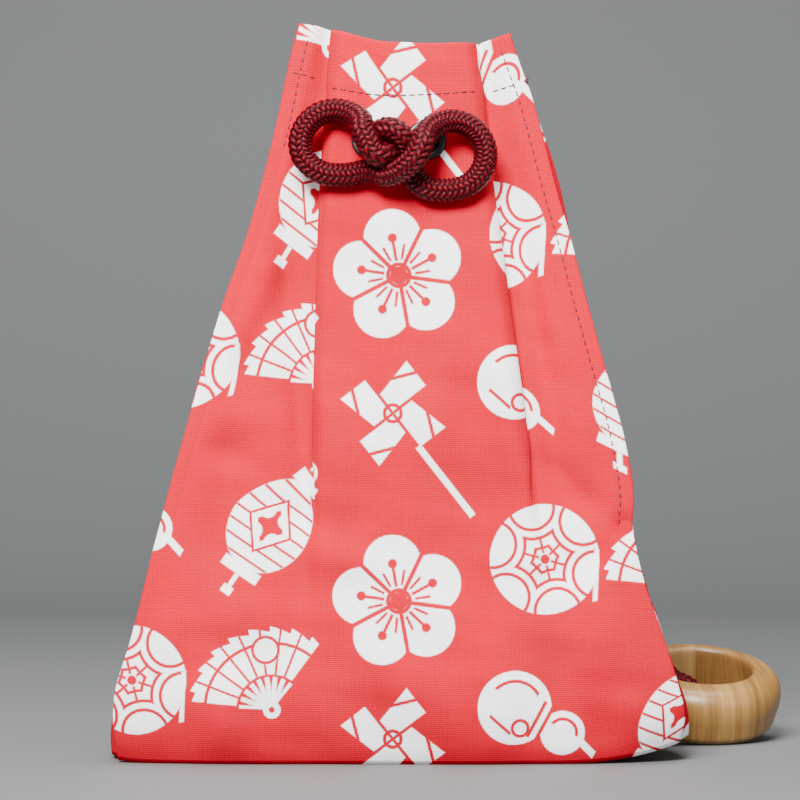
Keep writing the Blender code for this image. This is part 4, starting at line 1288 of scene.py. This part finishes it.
# How far each loose end of the hem's thread reaches out and up, and how much it curls
LOOSE_ENDS = ((0.0017, 0.0008, 0.0004), (0.0014, -0.0010, 0.0003), (0.0010, 0.0017, -0.0003))
ROLLED_FROM = 0.221  # below this the front's left seam lies under its rolled edge
THREAD, tree, shader = new_material("pink_thread")
ply = noise_at(tree, object_place(tree), 2600.0, 2.0)
tree.links.new(mixed(tree, ply, (0.060, 0.0010, 0.0060), (0.120, 0.0040, 0.0140)), shader.inputs["Base Color"])
shader.inputs["Roughness"].default_value = 0.55


def thread_mesh(runs):
    """Points and faces of short threads, each a run of places and its normals."""
    points, faces = [], []
    for places, normals, arch in runs:
        rings = len(places)
        along = unit(np.gradient(places, axis=0))
        sideways = unit(np.cross(along, normals))
        share = np.linspace(-1, 1, rings)
        lifted = places + normals * (arch * (1 - share**2) - THREAD_RADIUS * 0.6 * share**4)[:, None]
        size = THREAD_RADIUS * np.sqrt(np.clip(1.02 - share**8, 0, 1))
        angle = np.linspace(0, 2 * math.pi, 8, endpoint=False)[None, :, None]
        round_it = sideways[:, None] * np.cos(angle) + normals[:, None] * np.sin(angle)
        ring = lifted[:, None] + round_it * size[:, None, None]
        start = sum(len(p) for p in points)
        points.append(ring.reshape(-1, 3))
        faces.append(tube_faces(rings, 8) + start)
        cap = np.array(((3, 2, 1, 0), (7, 4, 3, 0), (7, 6, 5, 4)))
        faces += [start + cap, start + (rings - 1) * 8 + cap[:, ::-1]]
    return np.vstack(points), np.vstack(faces)


def stitch_runs(line, normals):
    """The line of places cut into stitches with small gaps."""
    travelled = travel(line)
    runs = []
    for i in range(int(travelled[-1] / (STITCH_LENGTH + STITCH_GAP))):
        at = i * (STITCH_LENGTH + STITCH_GAP) + np.linspace(0, STITCH_LENGTH, 7)
        runs.append((places_at(at, travelled, line), unit(places_at(at, travelled, normals)), STITCH_ARCH))
    return runs


for wall, which in ((-1, "front"), (1, "back")):
    points, flat, from_edge = walls[wall]
    outer_side = grid_normals(points)
    outer_side = outer_side * np.where(outer_side[..., 1] * wall < 0, -1, 1)[..., None]
    surface = points + outer_side * (wall_thickness(flat, from_edge) / 2)[..., None]
    columns = points.shape[1]
    runs = []
    for column in (columns - 1 - STITCH_OFFSET_INDEX, STITCH_OFFSET_INDEX):
        rolled = wall < 0 and column == STITCH_OFFSET_INDEX
        low = ROLLED_FROM if rolled else SEAM_END + 0.002
        keep = (flat[:, column, 1] > low) & (flat[:, column, 1] < BODY_HEIGHT - 0.001)
        runs += stitch_runs(surface[keep, column], outer_side[keep, column])
    middle_column = columns // 2
    for first, last in ((3, 33), (middle_column - 24, middle_column + 25), (columns - 33, columns - 3)):
        line, facing = [], []
        for column in range(first, last):
            row = np.interp(hem_height(points[-20, column, 0]), flat[:, column, 1], np.arange(len(flat)))
            low, part = int(row), row - int(row)
            line.append(surface[low, column] * (1 - part) + surface[low + 1, column] * part)
            facing.append(outer_side[low, column])
        runs += stitch_runs(np.array(line), np.array(facing))
    if wall < 0:
        # The hem's thread ends at the right edge in a few loose ends.
        row = int(np.argmin(np.abs(flat[:, columns - 4, 1] - HEM_HEIGHT - 0.0035)))
        corner = surface[row, columns - 3]
        share = np.linspace(0, 1, 11)
        arch = np.sin(math.pi * share)
        for out, rise, curl in LOOSE_ENDS:
            places = corner + np.stack([out * share, -0.0008 * arch, rise * share**2 + curl * arch], axis=1)
            runs.append((places, np.tile((0.0, -1.0, 0.0), (11, 1)), 0.0))
    stitch_points, stitch_faces = thread_mesh(runs)
    stitches = new_mesh(f"{which}_stitches", stitch_points, stitch_faces, THREAD)
    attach(stitches, "front_wall" if wall < 0 else "root")

# ---- Floor and light ----
# A seamless pale grey sweep under large soft lights, the strongest from above and a little to the left.
SWEEP_BEND = 0.5
SWEEP, tree, shader = new_material("pale_sweep")
shader.inputs["Base Color"].default_value = (0.113, 0.1155, 0.1165, 1)
shader.inputs["Roughness"].default_value = 0.75
across = np.linspace(-2.5, 2.5, 3)
angle = np.linspace(0, math.pi / 2, 13)
line = [(-3.0, 0.0), (-1.0, 0.0)]
line += [(0.9 + SWEEP_BEND * math.sin(a), SWEEP_BEND - SWEEP_BEND * math.cos(a)) for a in angle]
line += [(0.9 + SWEEP_BEND, 3.0)]
points = np.array([[(x, y, z) for x in across] for y, z in line])
index = np.arange(points.shape[0] * points.shape[1]).reshape(points.shape[:2])
sweep = new_mesh("sweep", points, quads_between(index), SWEEP)


def add_light(name, location, target, size, power):
    data = bpy.data.lights.new(name, "AREA")
    data.shape = "RECTANGLE"
    data.size, data.size_y = size
    data.energy = power
    light = bpy.data.objects.new(name, data)
    light.location = location
    light.rotation_euler = (Vector(target) - Vector(location)).to_track_quat("-Z", "Y").to_euler()
    bpy.context.scene.collection.objects.link(light)


add_light("key", (-0.30, -1.28, 1.02), (0, 0, 0.15), (0.60, 0.60), 105)
add_light("overhead", (0.15, -0.25, 1.5), (0, 0, 0.1), (0.8, 0.8), 26)
add_light("fill", (1.3, -1.2, 0.45), (0, 0, 0.12), (1.0, 1.0), 8)
world = bpy.data.worlds.new("studio")
world.use_nodes = True
world.node_tree.nodes["Background"].inputs["Color"].default_value = (0.80, 0.82, 0.85, 1)
world.node_tree.nodes["Background"].inputs["Strength"].default_value = 0.26
bpy.context.scene.world = world
